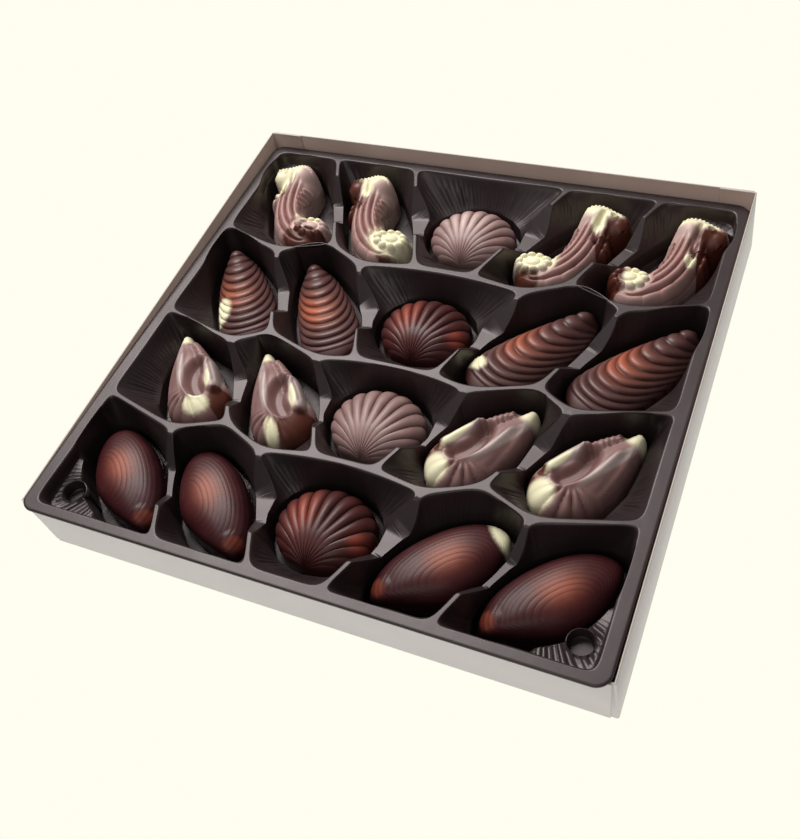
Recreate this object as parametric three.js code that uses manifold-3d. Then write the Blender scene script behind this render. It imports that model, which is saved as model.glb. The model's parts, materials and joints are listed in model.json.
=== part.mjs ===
// Box of chocolates: an open folding carton, a vacuum-formed tray and twenty shell-shaped pralines.
// Millimetres, +Z up, +X to the right, +Y to the back. The origin is the middle of the carton's underside.

import * as THREE from 'three';
import { mergeVertices } from 'three/addons/utils/BufferGeometryUtils.js';
import Module from 'manifold-3d';

// Clearance between pieces that rest on each other
const SEAT_GAP = 0.3;

// Folding carton: one blank of board, with tabs of the side walls glued behind the front and back walls
const CARTON_HEIGHT = 26.4;
const BOARD = 0.5;
const SIDE_PLAY = 1;
const END_PLAY = 0.7;
const GLUE_TAB = 14;
const TAB_SETBACK = 3.5;

// Tray: thin sheet, a flange all round, one pocket for each praline
const SHEET = 0.6;
const TRAY_CORNER = 9;
const FLANGE_SIDE = 3.8;
const FLANGE_END = 3;
const RIDGE = 1.8;
const OUTER_REACH = 18.2;
const POCKET_DEPTH = 19;
const POCKET_CLEARANCE = 0.5;
const SHOULDER_DEPTH = 11.5;
const SHOULDER_MARGIN = 1.8;
const WALL_DRAFT = 0.5;
const LIP_OVERHANG = 2.2;
const TRAY_SHIFT = -0.6;

// Zigzag of the ridges between rows: how far each bend lies behind (+) or before (-) the row line
const BEND_AT_FLANGE = 5;
const BEND_BACK_WALL = -3.4;
const BEND_FRONT_WALL = 4.3;
const BEND_CENTRE = 0.4;

// Finger channel across each row, cut down into the ridges between neighbours
const CHANNEL_DEPTH = 9;
const CHANNEL_FLOOR = 10;
const CHANNEL_SLOPE = 8.5;

// Round standing dimples in the two front corners
const DIMPLE_RADIUS = 4.8;
const DIMPLE_DEPTH = 13.5;
const DIMPLE_INSET = 12;

// Pralines: each has a flat back, a straight foot with a little draft, and the moulded relief above it
const FOOT_HEIGHT = 5.5;
const FOOT_DRAFT = 0.4;
const SCALLOP_WIDTH = 34;
const SCALLOP_LENGTH = 29.5;
const SCALLOP_HEIGHT = 15;
const SCALLOP_RIBS = 17;
const SEAHORSE_LENGTH = 42;
const SEAHORSE_HEIGHT = 18.5;
const SEAHORSE_GIRTH = 18.4;
const SNOUT_WIDTH = 9;
const SNOUT_HEIGHT = 16.5;
const ROSETTE_RADIUS = 8.4;
const ROSETTE_HEIGHT = 13.5;
const TURRET_LENGTH = 55;
const TURRET_WIDTH = 24.5;
const TURRET_HEIGHT = 14;
const TURRET_WHORLS = 10;
const TURRET_LEAN = 35;
const CONCH_LENGTH = 46;
const CONCH_WIDTH = 25;
const CONCH_HEIGHT = 15;
const CONCH_FOLD_WIDTH = 11.5;
const CONCH_FOLD_HEIGHT = 13.8;
const CONCH_LIP_WIDTH = 9;
const CONCH_LIP_HEIGHT = 12.3;
const CONCH_LEAN = 32;
const MUSSEL_LENGTH = 47.5;
const MUSSEL_WIDTH = 23.5;
const MUSSEL_HEIGHT = 13.6;
const MUSSEL_LEAN = 43;

// Rows of the tray from the back to the front: depth of the row, where the middles of its inner and
// outer columns stand, and how far the walls between its columns lean out at each end. The pralines
// and the finger channel stand a little behind the middle of their row.
const ROW_SHIFT = 3;
const ROWS = [
  { kind: 'seahorse', form: seahorse, lean: 0, depth: 54.5, inner: 40, outer: 76, wallLean: 10.5 },
  { kind: 'turret', form: turret, lean: TURRET_LEAN, depth: 48, inner: 41.9, outer: 78, wallLean: 8.8 },
  { kind: 'conch', form: conch, lean: CONCH_LEAN, depth: 42, inner: 37.5, outer: 73, wallLean: 8.6 },
  { kind: 'mussel', form: mussel, lean: MUSSEL_LEAN, depth: 44.5, inner: 38.7, outer: 73.8, wallLean: 8.5 },
];

// Overall sizes that follow from the rows
const POCKET_EDGE = Math.max(...ROWS.map((row) => row.outer)) + OUTER_REACH;
const TRAY_WIDTH = 2 * (POCKET_EDGE + FLANGE_SIDE);
const TRAY_DEPTH = ROWS.reduce((sum, row) => sum + row.depth, 0) + 2 * FLANGE_END;
const CARTON_WIDTH = TRAY_WIDTH + 2 * (SIDE_PLAY + BOARD);
const CARTON_DEPTH = TRAY_DEPTH - LIP_OVERHANG + END_PLAY + BOARD;

const wasm = await Module();
wasm.setup();

// Solids and geometries
const MERGE_TOLERANCE = 1e-4;

function indexedGeometry(points, triangles) {
  const geometry = new THREE.BufferGeometry();
  geometry.setAttribute('position', new THREE.Float32BufferAttribute(points.flat(), 3));
  geometry.setIndex(triangles.flat());
  return geometry;
}

function toSolid(source) {
  const bare = source.clone();
  bare.deleteAttribute('normal');
  bare.deleteAttribute('uv');
  const merged = mergeVertices(bare, MERGE_TOLERANCE);
  const vertProperties = new Float32Array(merged.attributes.position.array);
  const triVerts = new Uint32Array(merged.index.array);
  return new wasm.Manifold(new wasm.Mesh({ numProp: 3, vertProperties, triVerts }));
}

function toGeometry(solid) {
  const mesh = solid.getMesh();
  const geometry = new THREE.BufferGeometry();
  geometry.setAttribute('position', new THREE.BufferAttribute(mesh.vertProperties, 3));
  geometry.setIndex(new THREE.BufferAttribute(mesh.triVerts, 1));
  return geometry;
}

function joined(geometries) {
  const solids = geometries.map(toSolid);
  return toGeometry(solids.reduce((whole, piece) => whole.add(piece)));
}

// The same body for the other hand: x is turned round, and so is the winding of each triangle
function mirrored(geometry) {
  const other = geometry.clone().applyMatrix4(new THREE.Matrix4().makeScale(-1, 1, 1));
  const index = other.index.array;
  for (let i = 0; i < index.length; i += 3) [index[i], index[i + 1]] = [index[i + 1], index[i]];
  return other;
}

// A body between stacked rings of equally many points, each ring counter-clockwise, lowest ring first
function ringLoft(rings, axis) {
  const count = rings[0].length;
  const points = rings.flat();
  const triangles = [];
  for (let level = 0; level + 1 < rings.length; level++) {
    for (let i = 0; i < count; i++) {
      const next = (i + 1) % count;
      const [a, b] = [level * count + i, level * count + next];
      triangles.push([a, b, b + count], [a, b + count, a + count]);
    }
  }
  const bottom = points.length;
  const top = bottom + 1;
  const upper = (rings.length - 1) * count;
  points.push([axis[0], axis[1], rings[0][0][2]], [axis[0], axis[1], rings.at(-1)[0][2]]);
  for (let i = 0; i < count; i++) {
    const next = (i + 1) % count;
    triangles.push([bottom, next, i], [top, upper + i, upper + next]);
  }
  return indexedGeometry(points, triangles);
}

// A moulded body with a flat back: a foot and an arched section above it, carried along a spine that
// lies on the ground. Each station has a share of the way along the spine, a half width to the left and
// to the right and a height; sag moves the crown of the section back along the spine.
const ARCH_FULLNESS = 0.85;
const ARCH_STEPS = 6;

function archedSweep(spinePoints, stations) {
  const spine = new THREE.CatmullRomCurve3(spinePoints.map(([x, y]) => new THREE.Vector3(x, y, 0)));
  const points = [];
  const triangles = [];
  for (const { at, left, right, height, sag = 0 } of stations) {
    const middle = spine.getPointAt(at);
    const along = spine.getTangentAt(at);
    const place = (reach, lag, z) => points.push([
      middle.x - along.y * reach - along.x * lag,
      middle.y + along.x * reach - along.y * lag,
      z,
    ]);
    const foot = Math.min(FOOT_HEIGHT, height);
    place(left, 0, 0);
    for (let j = 0; j <= ARCH_STEPS; j++) {
      const turn = Math.PI * j / ARCH_STEPS;
      const rise = j === ARCH_STEPS ? 0 : Math.pow(Math.sin(turn), ARCH_FULLNESS);
      const side = Math.sign(Math.cos(turn)) * Math.pow(Math.abs(Math.cos(turn)), ARCH_FULLNESS);
      const half = side > 0 ? left : right;
      place(side * Math.max(half - FOOT_DRAFT, half / 2), sag * rise, foot + (height - foot) * rise);
    }
    place(-right, 0, 0);
  }
  const ring = ARCH_STEPS + 3;
  const last = (stations.length - 1) * ring;
  for (let i = 0; i < last; i += ring) {
    for (let j = 0; j < ring; j++) {
      const next = (j + 1) % ring;
      triangles.push([i + j, i + next, i + j + ring], [i + next, i + next + ring, i + j + ring]);
    }
  }
  for (let j = 1; j + 1 < ring; j++) {
    triangles.push([0, j + 1, j], [last, last + j, last + j + 1]);
  }
  return indexedGeometry(points, triangles);
}

// How full a body is a share of its length away from a round end
function roundEnd(at, radius) {
  const inside = Math.min(at / radius, 1);
  return Math.sqrt(inside * (2 - inside));
}

const END_FULLNESS = 0.12;

// Height of the relief above the foot at a share of its full rise
const reliefHeight = (full, share) => FOOT_HEIGHT + (full - FOOT_HEIGHT) * share;

// Pralines, left hand, each standing on z = 0 with its tip towards +Y

// Fan shell: ribs run from the hinge at the front to the rim of a domed oval
function scallop() {
  const FAN_TURN = 2.8;
  const RIB_DEPTH = 0.07;
  const RIM_WAVE = 0.025;
  const DOME_SPREAD = 2.6;
  const DOME_ROUNDNESS = 0.55;
  const rows = [0.2, 0.5, 0.72, 0.9, 1];
  const rim = rows.length - 1;
  const columns = 2 * SCALLOP_RIBS;
  const [halfWidth, halfLength] = [SCALLOP_WIDTH / 2, SCALLOP_LENGTH / 2];
  const hingeY = -halfLength;
  const points = [[0, hingeY, FOOT_HEIGHT]];
  for (let c = 0; c <= columns; c++) {
    const turn = FAN_TURN * (2 * c / columns - 1);
    const rib = (c % 2 === 0 ? -1 : 1) * Math.cos(turn / 2);
    const wave = 1 + RIM_WAVE * rib;
    for (const share of rows) {
      const x = share * halfWidth * wave * Math.sin(turn);
      const y = hingeY + share * (halfLength * wave * Math.cos(turn) - hingeY);
      const out = Math.min(1, Math.hypot(x / halfWidth, y / halfLength) / wave);
      const dome = Math.pow(1 - out ** DOME_SPREAD, DOME_ROUNDNESS);
      const ribbed = dome * (1 + RIB_DEPTH * (rib * share - 1));
      points.push([x, y, reliefHeight(SCALLOP_HEIGHT, share === 1 ? 0 : ribbed)]);
    }
  }
  const at = (c, k) => 1 + c * rows.length + k;
  const triangles = [];
  for (let c = 0; c < columns; c++) {
    triangles.push([0, at(c + 1, 0), at(c, 0)]);
    for (let k = 0; k < rim; k++) {
      const [a, b] = [at(c, k), at(c + 1, k)];
      triangles.push([a, b, b + 1], [a, b + 1, a + 1]);
    }
  }
  for (let k = 0; k < rim; k++) {
    triangles.push([0, at(0, k), at(0, k + 1)], [0, at(columns, k + 1), at(columns, k)]);
  }
  const edge = [0, ...Array.from({ length: columns + 1 }, (_, c) => at(c, rim))];
  const under = points.length;
  for (const i of edge) points.push([points[i][0], points[i][1], 0]);
  edge.forEach((a, i) => {
    const next = (i + 1) % edge.length;
    triangles.push([a, edge[next], under + i], [edge[next], under + next, under + i]);
    if (i > 0 && next > 0) triangles.push([under, under + i, under + next]);
  });
  return indexedGeometry(points, triangles);
}

// Auger shell: a blunt spire whose whorls step in towards the tip and sag on the crown
function turret() {
  const ROUND_BASE = 0.35;
  const TAPER = 2.6;
  const CROWN_TAPER = 7;
  const SPIRE_START = 0.14;
  const SPIRE_END = 0.97;
  const WHORL_STEP = 0.07;
  const SAG = 7;
  const shares = [0, SPIRE_START / 4];
  for (let k = 0; k <= 2 * TURRET_WHORLS; k++) {
    shares.push(SPIRE_START + (SPIRE_END - SPIRE_START) * k / (2 * TURRET_WHORLS));
  }
  const stations = shares.map((at, k) => {
    const base = Math.max(END_FULLNESS, roundEnd(at, ROUND_BASE));
    const step = k > 1 && k % 2 === 1 ? 1 - WHORL_STEP : 1;
    const half = TURRET_WIDTH / 2 * base * Math.sqrt(1 - at ** TAPER) * step;
    const crown = base * Math.sqrt(1 - at ** CROWN_TAPER) * step;
    const height = reliefHeight(TURRET_HEIGHT, crown);
    return { at, left: half, right: half, height, sag: SAG * Math.sin(Math.PI * at) };
  });
  return archedSweep([[0, -TURRET_LENGTH / 2], [0, 0], [0, TURRET_LENGTH / 2]], stations);
}

// Mussel: a smooth oval with blunt ends, set a little to its outer side
function mussel() {
  const OUTER_SHIFT = 0.13;
  const OVAL = 2.15;
  const OVAL_ROUNDNESS = 0.52;
  const CROWN_SPREAD = 2.4;
  const CROWN = 0.5;
  const shares = [0, 0.015, 0.06, 0.14, 0.26, 0.4, 0.53, 0.66, 0.78, 0.88, 0.95, 0.985, 1];
  const stations = shares.map((at) => {
    const away = Math.abs(2 * at - 1);
    const side = MUSSEL_WIDTH / 2 * Math.max(END_FULLNESS, (1 - away ** OVAL) ** OVAL_ROUNDNESS);
    const crown = (1 - away ** CROWN_SPREAD) ** CROWN;
    return { at, left: side, right: side, height: reliefHeight(MUSSEL_HEIGHT, crown) };
  });
  const x = -OUTER_SHIFT * MUSSEL_WIDTH;
  return archedSweep([[x, -MUSSEL_LENGTH / 2], [x, 0], [x, MUSSEL_LENGTH / 2]], stations);
}

// Conch: a pleated body that ends in a spire, with a middle fold and a rolled lip beside it
function conch() {
  const ROUND_BASE = 0.3;
  const SPIRE = 3;
  const CROWN = 0.6;
  const BODY_TAPER = 1.2;
  const FOLD_TAPER = 0.8;
  const LIP_TAPER = 0.5;
  const halfLength = CONCH_LENGTH / 2;
  const halfWidth = CONCH_WIDTH / 2;
  const shares = [0, 0.05, 0.16, 0.34, 0.55, 0.75, 0.9, 0.97, 1];
  const lobe = (spine, width, height, taper) => {
    const stations = shares.map((at) => {
      const swell = Math.max(END_FULLNESS, roundEnd(at, ROUND_BASE) * (1 - at ** SPIRE) ** taper);
      const side = width / 2 * swell;
      return { at, left: side, right: side, height: reliefHeight(height, swell ** CROWN) };
    });
    return archedSweep(spine.map(([x, y]) => [x * halfWidth, y * halfLength]), stations);
  };
  const bodySpine = [[0, -0.86], [-0.14, -0.3], [-0.16, 1]];
  const foldSpine = [[0.1, -0.64], [0.3, 0], [0.26, 0.76]];
  const lipSpine = [[0.42, -0.7], [0.66, -0.2], [0.6, 0.4]];
  const body = lobe(bodySpine, CONCH_WIDTH, CONCH_HEIGHT, BODY_TAPER);
  const fold = lobe(foldSpine, CONCH_FOLD_WIDTH, CONCH_FOLD_HEIGHT, FOLD_TAPER);
  const lip = lobe(lipSpine, CONCH_LIP_WIDTH, CONCH_LIP_HEIGHT, LIP_TAPER);
  return joined([body, fold, lip]);
}

// Seahorse: a plump body bent like a J, a snout to the outside and the tail rolled into a rosette
function seahorse() {
  const ROUND_HEAD = 0.25;
  const ROUND_TAIL = 0.3;
  const ROSETTE_SIDES = 14;
  const CROWN = 0.45;
  const half = SEAHORSE_LENGTH / 2;
  const girth = SEAHORSE_GIRTH / 2;
  const along = (spine) => spine.map(([x, y]) => [x * half, y * half]);
  const tail = [0.48 * half, -0.65 * half];
  const bodyShares = [0, 0.03, 0.1, 0.22, 0.38, 0.54, 0.7, 0.85, 0.95, 1];
  const bodyStations = bodyShares.map((at) => {
    const swell = Math.max(END_FULLNESS, roundEnd(at, ROUND_HEAD) * roundEnd(1 - at, ROUND_TAIL));
    const top = SEAHORSE_HEIGHT + (ROSETTE_HEIGHT - SEAHORSE_HEIGHT) * at;
    return { at, left: girth * swell, right: girth * swell, height: reliefHeight(top, swell ** CROWN) };
  });
  const body = archedSweep(
    along([[-0.32, 0.97], [-0.25, 0.5], [-0.15, 0], [0, -0.46], [0.45, -0.82]]), bodyStations);
  const snoutStations = [0, 0.1, 0.4, 0.75, 0.93, 1].map((at) => {
    const swell = Math.max(END_FULLNESS, roundEnd(1 - at, ROUND_TAIL));
    const side = SNOUT_WIDTH / 2 * swell;
    return { at, left: side, right: side, height: reliefHeight(SNOUT_HEIGHT, swell ** CROWN) };
  });
  const snout = archedSweep(along([[-0.3, 0.6], [-0.62, 0.58], [-0.92, 0.44]]), snoutStations);
  const rosetteProfile = [[0, 0], [1, 0], [1, 0.72], [0.86, 0.92], [0.5, 1], [0, 1]]
    .map(([r, z]) => new THREE.Vector2(r * ROSETTE_RADIUS, z * ROSETTE_HEIGHT));
  const rosette = new THREE.LatheGeometry(rosetteProfile, ROSETTE_SIDES).rotateX(Math.PI / 2);
  rosette.translate(tail[0], tail[1], 0);
  return joined([body, snout, rosette]);
}

// Plan of the tray

// Corners of the ridge pattern on one row line, right half; flat lines lie along the flange
function rowLine(y, flat, rowBehind, rowBefore) {
  const bend = (offset) => (flat ? y : y + offset);
  const wall = (row, sign, column) => {
    const pitch = row.outer - row.inner;
    const middle = (column === 'outer' ? row.outer : row.inner) - pitch / 2;
    return middle + sign * row.wallLean;
  };
  return {
    end: [POCKET_EDGE, bend(BEND_AT_FLANGE)],
    outerBack: rowBefore && [wall(rowBefore, 1, 'outer'), bend(BEND_BACK_WALL)],
    outerFront: rowBehind && [wall(rowBehind, -1, 'outer'), bend(BEND_FRONT_WALL)],
    innerBack: rowBefore && [wall(rowBefore, 1, 'inner'), bend(BEND_BACK_WALL)],
    innerFront: rowBehind && [wall(rowBehind, -1, 'inner'), bend(BEND_CENTRE)],
  };
}

const rowLines = [];
let lineY = TRAY_DEPTH / 2 - FLANGE_END;
for (let k = 0; k <= ROWS.length; k++) {
  rowLines.push(rowLine(lineY, k === 0 || k === ROWS.length, ROWS[k - 1], ROWS[k]));
  if (k < ROWS.length) {
    ROWS[k].middle = lineY - ROWS[k].depth / 2 + ROW_SHIFT;
    lineY -= ROWS[k].depth;
  }
}

const otherHand = ([x, y]) => [-x, y];

// The convex outline of one pocket, counter-clockwise, for the columns 0 (left) to 4 (right)
function pocketOutline(k, column) {
  const back = rowLines[k];
  const front = rowLines[k + 1];
  if (column === 2) {
    const backRight = back.innerFront ? [back.innerBack, back.innerFront] : [back.innerBack];
    const backLeft = [...backRight].reverse().map(otherHand);
    return [...backRight, ...backLeft, otherHand(front.innerFront), front.innerFront];
  }
  const outer = [back.end, back.outerBack, front.outerFront, front.outerBack, front.end];
  const inner = [back.outerBack, back.outerFront, back.innerBack, front.innerFront, front.innerBack,
    front.outerFront];
  const corners = (column === 0 || column === 4 ? outer : inner).filter(Boolean);
  return column < 2 ? corners.map(otherHand).reverse() : corners;
}

// Distance from a middle point along a direction to the sides of a convex outline moved in by an inset
const CORNER_SHARPNESS = 14;

function reachTo(outline, middle, direction, inset, sharpness) {
  let sum = 0;
  let nearest = Infinity;
  outline.forEach(([x, y], i) => {
    const [nextX, nextY] = outline[(i + 1) % outline.length];
    const length = Math.hypot(nextX - x, nextY - y);
    const normal = [(nextY - y) / length, (x - nextX) / length];
    const slope = normal[0] * direction[0] + normal[1] * direction[1];
    if (slope <= 0) return;
    const distance = normal[0] * (x - middle[0]) + normal[1] * (y - middle[1]) - inset;
    nearest = Math.min(nearest, distance / slope);
    sum += Math.pow(slope / distance, sharpness ?? 1);
  });
  return sharpness ? Math.pow(sum, -1 / sharpness) : nearest;
}

const FLATNESS = 1e-3;

function convexOutline(points) {
  const sorted = [...points].sort((p, q) => p[0] - q[0] || p[1] - q[1]);
  const turn = (o, p, q) => (p[0] - o[0]) * (q[1] - o[1]) - (p[1] - o[1]) * (q[0] - o[0]);
  const chain = (list) => {
    const kept = [];
    for (const point of list) {
      while (kept.length > 1 && turn(kept.at(-2), kept.at(-1), point) <= FLATNESS) kept.pop();
      kept.push(point);
    }
    return kept.slice(0, -1);
  };
  return [...chain(sorted), ...chain(sorted.reverse())];
}

// Directions round a pocket: one to each corner, and an even spread between the corners
const EVEN_DIRECTIONS = 16;
const LEAST_TURN = 0.17;

function pocketDirections(outline, middle) {
  const turns = outline.map(([x, y]) => Math.atan2(y - middle[1], x - middle[0]));
  for (let i = 0; i < EVEN_DIRECTIONS; i++) {
    const even = Math.PI * (2 * (i + 0.5) / EVEN_DIRECTIONS - 1);
    if (turns.every((turn) => Math.abs(turn - even) > LEAST_TURN)) turns.push(even);
  }
  return turns.sort((p, q) => p - q).map((turn) => [Math.cos(turn), Math.sin(turn)]);
}

// Reaches in the given directions whose straight joins stay clear of a footprint's corners
function clearReaches(footprint, middle, directions) {
  const cross = (p, q) => p[0] * q[1] - p[1] * q[0];
  const reaches = directions.map((direction) => (
    reachTo(footprint, middle, direction, 0) + POCKET_CLEARANCE));
  const ends = directions.map((direction, i) => direction.map((share) => share * reaches[i]));
  const clear = [...reaches];
  for (const [x, y] of footprint) {
    const corner = [x - middle[0], y - middle[1]];
    const first = ends.findIndex((end, i) => (
      cross(end, corner) >= 0 && cross(corner, ends[(i + 1) % ends.length]) > 0));
    const second = (first + 1) % ends.length;
    const span = cross(corner, ends[second]) - cross(corner, ends[first]);
    const join = cross(ends[first], ends[second]) / span;
    const growth = (1 + POCKET_CLEARANCE / Math.hypot(...corner)) / join;
    for (const i of [first, second]) clear[i] = Math.max(clear[i], growth * reaches[i]);
  }
  return clear;
}

// One pocket: straight top edge on the ridges, a sloping wall to the shoulder round the praline, and a
// steep wall down to a floor of the praline's own outline. The cup is the same form one sheet larger.
function pocketForms(outline, footprint, middle) {
  const directions = pocketDirections(outline, middle);
  const floors = clearReaches(footprint, middle, directions);
  const levels = directions.map((direction, i) => {
    const floor = floors[i];
    const edge = reachTo(outline, middle, direction, RIDGE / 2, CORNER_SHARPNESS);
    const top = Math.max(edge, floor + 2 * WALL_DRAFT);
    const shoulder = Math.min(floor + SHOULDER_MARGIN, top - WALL_DRAFT);
    return { direction, floor, shoulder, top };
  });
  const ring = (level, growth, z) => levels.map((step) => {
    const reach = step[level] + growth;
    return [middle[0] + step.direction[0] * reach, middle[1] + step.direction[1] * reach, z];
  });
  const pocket = ringLoft([
    ring('floor', 0, -POCKET_DEPTH), ring('shoulder', 0, -SHOULDER_DEPTH),
    ring('top', 0, 0), ring('top', 0, SHEET),
  ], middle);
  const cup = ringLoft([
    ring('floor', SHEET, -POCKET_DEPTH - SHEET), ring('shoulder', SHEET, -SHOULDER_DEPTH - SHEET),
    ring('top', SHEET, -SHEET / 2),
  ], middle);
  return { pocket, cup };
}

// A trough across a row: flat floor, sloping sides. Growth makes the sheet under it.
function channelForm(row, growth) {
  const floorHalf = CHANNEL_FLOOR / 2 + growth;
  const topHalf = CHANNEL_FLOOR / 2 + CHANNEL_SLOPE + growth;
  const roof = growth > 0 ? -SHEET / 2 : SHEET;
  const brow = Math.min(roof, 0) - growth;
  const floor = -CHANNEL_DEPTH - growth;
  const section = new THREE.Shape([
    [-topHalf, roof], [-topHalf, brow], [-floorHalf, floor],
    [floorHalf, floor], [topHalf, brow], [topHalf, roof],
  ].map(([y, z]) => new THREE.Vector2(row.middle + y, z)));
  const trough = new THREE.ExtrudeGeometry(section, { depth: 2 * row.outer, bevelEnabled: false });
  const alongX = new THREE.Matrix4().makeBasis(
    new THREE.Vector3(0, 1, 0), new THREE.Vector3(0, 0, 1), new THREE.Vector3(1, 0, 0));
  return trough.applyMatrix4(alongX).translate(-row.outer, 0, 0);
}

const DIMPLE_SIDES = 20;

function dimpleForm(side, growth) {
  const top = growth > 0 ? -SHEET / 2 : SHEET;
  const depth = top + DIMPLE_DEPTH + growth;
  const radius = DIMPLE_RADIUS + growth;
  const well = new THREE.CylinderGeometry(radius, radius, depth, DIMPLE_SIDES);
  well.rotateX(Math.PI / 2);
  const x = side * (TRAY_WIDTH / 2 - DIMPLE_INSET);
  return well.translate(x, -TRAY_DEPTH / 2 + DIMPLE_INSET, top - depth / 2);
}

function roundedRectangle(width, depth, radius) {
  const shape = new THREE.Shape();
  const [x, y] = [width / 2 - radius, depth / 2 - radius];
  shape.absarc(x, y, radius, 0, Math.PI / 2);
  shape.absarc(-x, y, radius, Math.PI / 2, Math.PI);
  shape.absarc(-x, -y, radius, Math.PI, 1.5 * Math.PI);
  shape.absarc(x, -y, radius, 1.5 * Math.PI, 2 * Math.PI);
  return shape;
}

// Carton

// Plan of the walls: the front and back panels stop short of the corners, where the tab behind shows
function cartonOutline(setIn) {
  const [x, y] = [CARTON_WIDTH / 2 - setIn, CARTON_DEPTH / 2 - setIn];
  const panelEnd = setIn > 0 ? CARTON_WIDTH / 2 - GLUE_TAB : CARTON_WIDTH / 2 - TAB_SETBACK;
  const quarter = [[x, 0], [x, y - BOARD], [panelEnd, y - BOARD], [panelEnd, y]];
  const left = [...quarter].reverse().map(([px, py]) => [-px, py]);
  const back = [...quarter, ...left];
  const front = back.slice(1, -1).reverse().map(([px, py]) => [px, -py]);
  return [...back, ...front].map(([px, py]) => new THREE.Vector2(px, py));
}

function carton() {
  const walls = new THREE.Shape(cartonOutline(0));
  walls.holes.push(new THREE.Path(cartonOutline(BOARD)));
  const wallRing = new THREE.ExtrudeGeometry(walls, { depth: CARTON_HEIGHT, bevelEnabled: false });
  const base = new THREE.Shape(cartonOutline(0));
  const floor = new THREE.ExtrudeGeometry(base, { depth: BOARD, bevelEnabled: false });
  return joined([wallRing, floor]);
}

// Assembly

const CHOCOLATE = { roughness: 0.35, metalness: 0 };
const FINISHES = {
  carton: new THREE.MeshStandardMaterial({ color: 0xd9d5cf, roughness: 0.4, metalness: 0 }),
  tray: new THREE.MeshStandardMaterial({ color: 0x2b211f, roughness: 0.2, metalness: 0 }),
  seahorse: new THREE.MeshStandardMaterial({ color: 0xa98378, ...CHOCOLATE }),
  turret: new THREE.MeshStandardMaterial({ color: 0x6d3524, ...CHOCOLATE }),
  conch: new THREE.MeshStandardMaterial({ color: 0xb0938a, ...CHOCOLATE }),
  mussel: new THREE.MeshStandardMaterial({ color: 0x5e271f, ...CHOCOLATE }),
  scallopLight: new THREE.MeshStandardMaterial({ color: 0x9a7c74, ...CHOCOLATE }),
  scallopDark: new THREE.MeshStandardMaterial({ color: 0x66302a, ...CHOCOLATE }),
};

function namedMesh(name, geometry, material) {
  const mesh = new THREE.Mesh(geometry, material);
  mesh.name = name;
  return mesh;
}

const box = new THREE.Group();
box.add(namedMesh('carton', carton(), FINISHES.carton));

// Everything in the tray group is in the tray's own frame, with z = 0 on the flange
const trayGroup = new THREE.Group();
const CORNER_SEGMENTS = 6;
const flange = new THREE.ExtrudeGeometry(roundedRectangle(TRAY_WIDTH, TRAY_DEPTH, TRAY_CORNER),
  { depth: SHEET, bevelEnabled: false, curveSegments: CORNER_SEGMENTS }).translate(0, 0, -SHEET);
let sheet = toSolid(flange);
const hollows = [];

ROWS.forEach((row, k) => {
  const leftForm = row.form();
  const rightForm = mirrored(leftForm);
  const columns = [-row.outer, -row.inner, 0, row.inner, row.outer];
  columns.forEach((x, column) => {
    const centre = column === 2;
    const left = column < 2;
    const order = column < 2 ? column + 1 : column;
    const name = centre ? `scallop_${k + 1}` : `${row.kind}_${order}`;
    const scallopFinish = k % 2 === 0 ? FINISHES.scallopLight : FINISHES.scallopDark;
    const praline = namedMesh(name, centre ? scallop() : (left ? leftForm : rightForm),
      centre ? scallopFinish : FINISHES[row.kind]);
    praline.position.set(x, row.middle, -POCKET_DEPTH + SEAT_GAP);
    praline.rotation.z = centre ? 0 : THREE.MathUtils.degToRad(left ? row.lean : -row.lean);
    praline.updateMatrix();
    trayGroup.add(praline);

    const placed = praline.geometry.clone().applyMatrix4(praline.matrix).attributes.position;
    const plan = [];
    for (let i = 0; i < placed.count; i++) plan.push([placed.getX(i), placed.getY(i)]);
    const footprint = convexOutline(plan);
    const { pocket, cup } = pocketForms(pocketOutline(k, column), footprint, [x, row.middle]);
    sheet = sheet.add(toSolid(cup));
    hollows.push(toSolid(pocket));
  });
  sheet = sheet.add(toSolid(channelForm(row, SHEET)));
  hollows.push(toSolid(channelForm(row, 0)));
});
for (const side of [-1, 1]) {
  sheet = sheet.add(toSolid(dimpleForm(side, SHEET)));
  hollows.push(toSolid(dimpleForm(side, 0)));
}
const formed = hollows.reduce((rest, hollow) => rest.subtract(hollow), sheet);
const trayMesh = namedMesh('tray', toGeometry(formed), FINISHES.tray);
trayGroup.add(trayMesh);

// The tray leans as it lies in the box: its back feet stand on the floor, and its front lip rests on the
// top edge of the front wall. The lean is the angle at which both touch.
const trayPoints = trayMesh.geometry.attributes.position;
const footZ = -POCKET_DEPTH - SHEET;
let footY = -Infinity;
for (let i = 0; i < trayPoints.count; i++) {
  if (trayPoints.getZ(i) < footZ + SHEET / 4) footY = Math.max(footY, trayPoints.getY(i));
}
const lipY = -TRAY_DEPTH / 2 + LIP_OVERHANG + BOARD;
const reach = footY - lipY;
const rise = CARTON_HEIGHT - BOARD;
const trayLean = Math.asin(rise / Math.hypot(reach, POCKET_DEPTH)) - Math.atan2(POCKET_DEPTH, reach);
trayGroup.rotation.x = -trayLean;
trayGroup.position.set(
  TRAY_SHIFT,
  -CARTON_DEPTH / 2 - LIP_OVERHANG + TRAY_DEPTH / 2 * Math.cos(trayLean),
  BOARD + SEAT_GAP + footY * Math.sin(trayLean) - footZ * Math.cos(trayLean));
box.add(trayGroup);

export default box;
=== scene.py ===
import json
import math

import bmesh
import bpy
import numpy as np
from mathutils import Matrix, Vector, geometry


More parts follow.
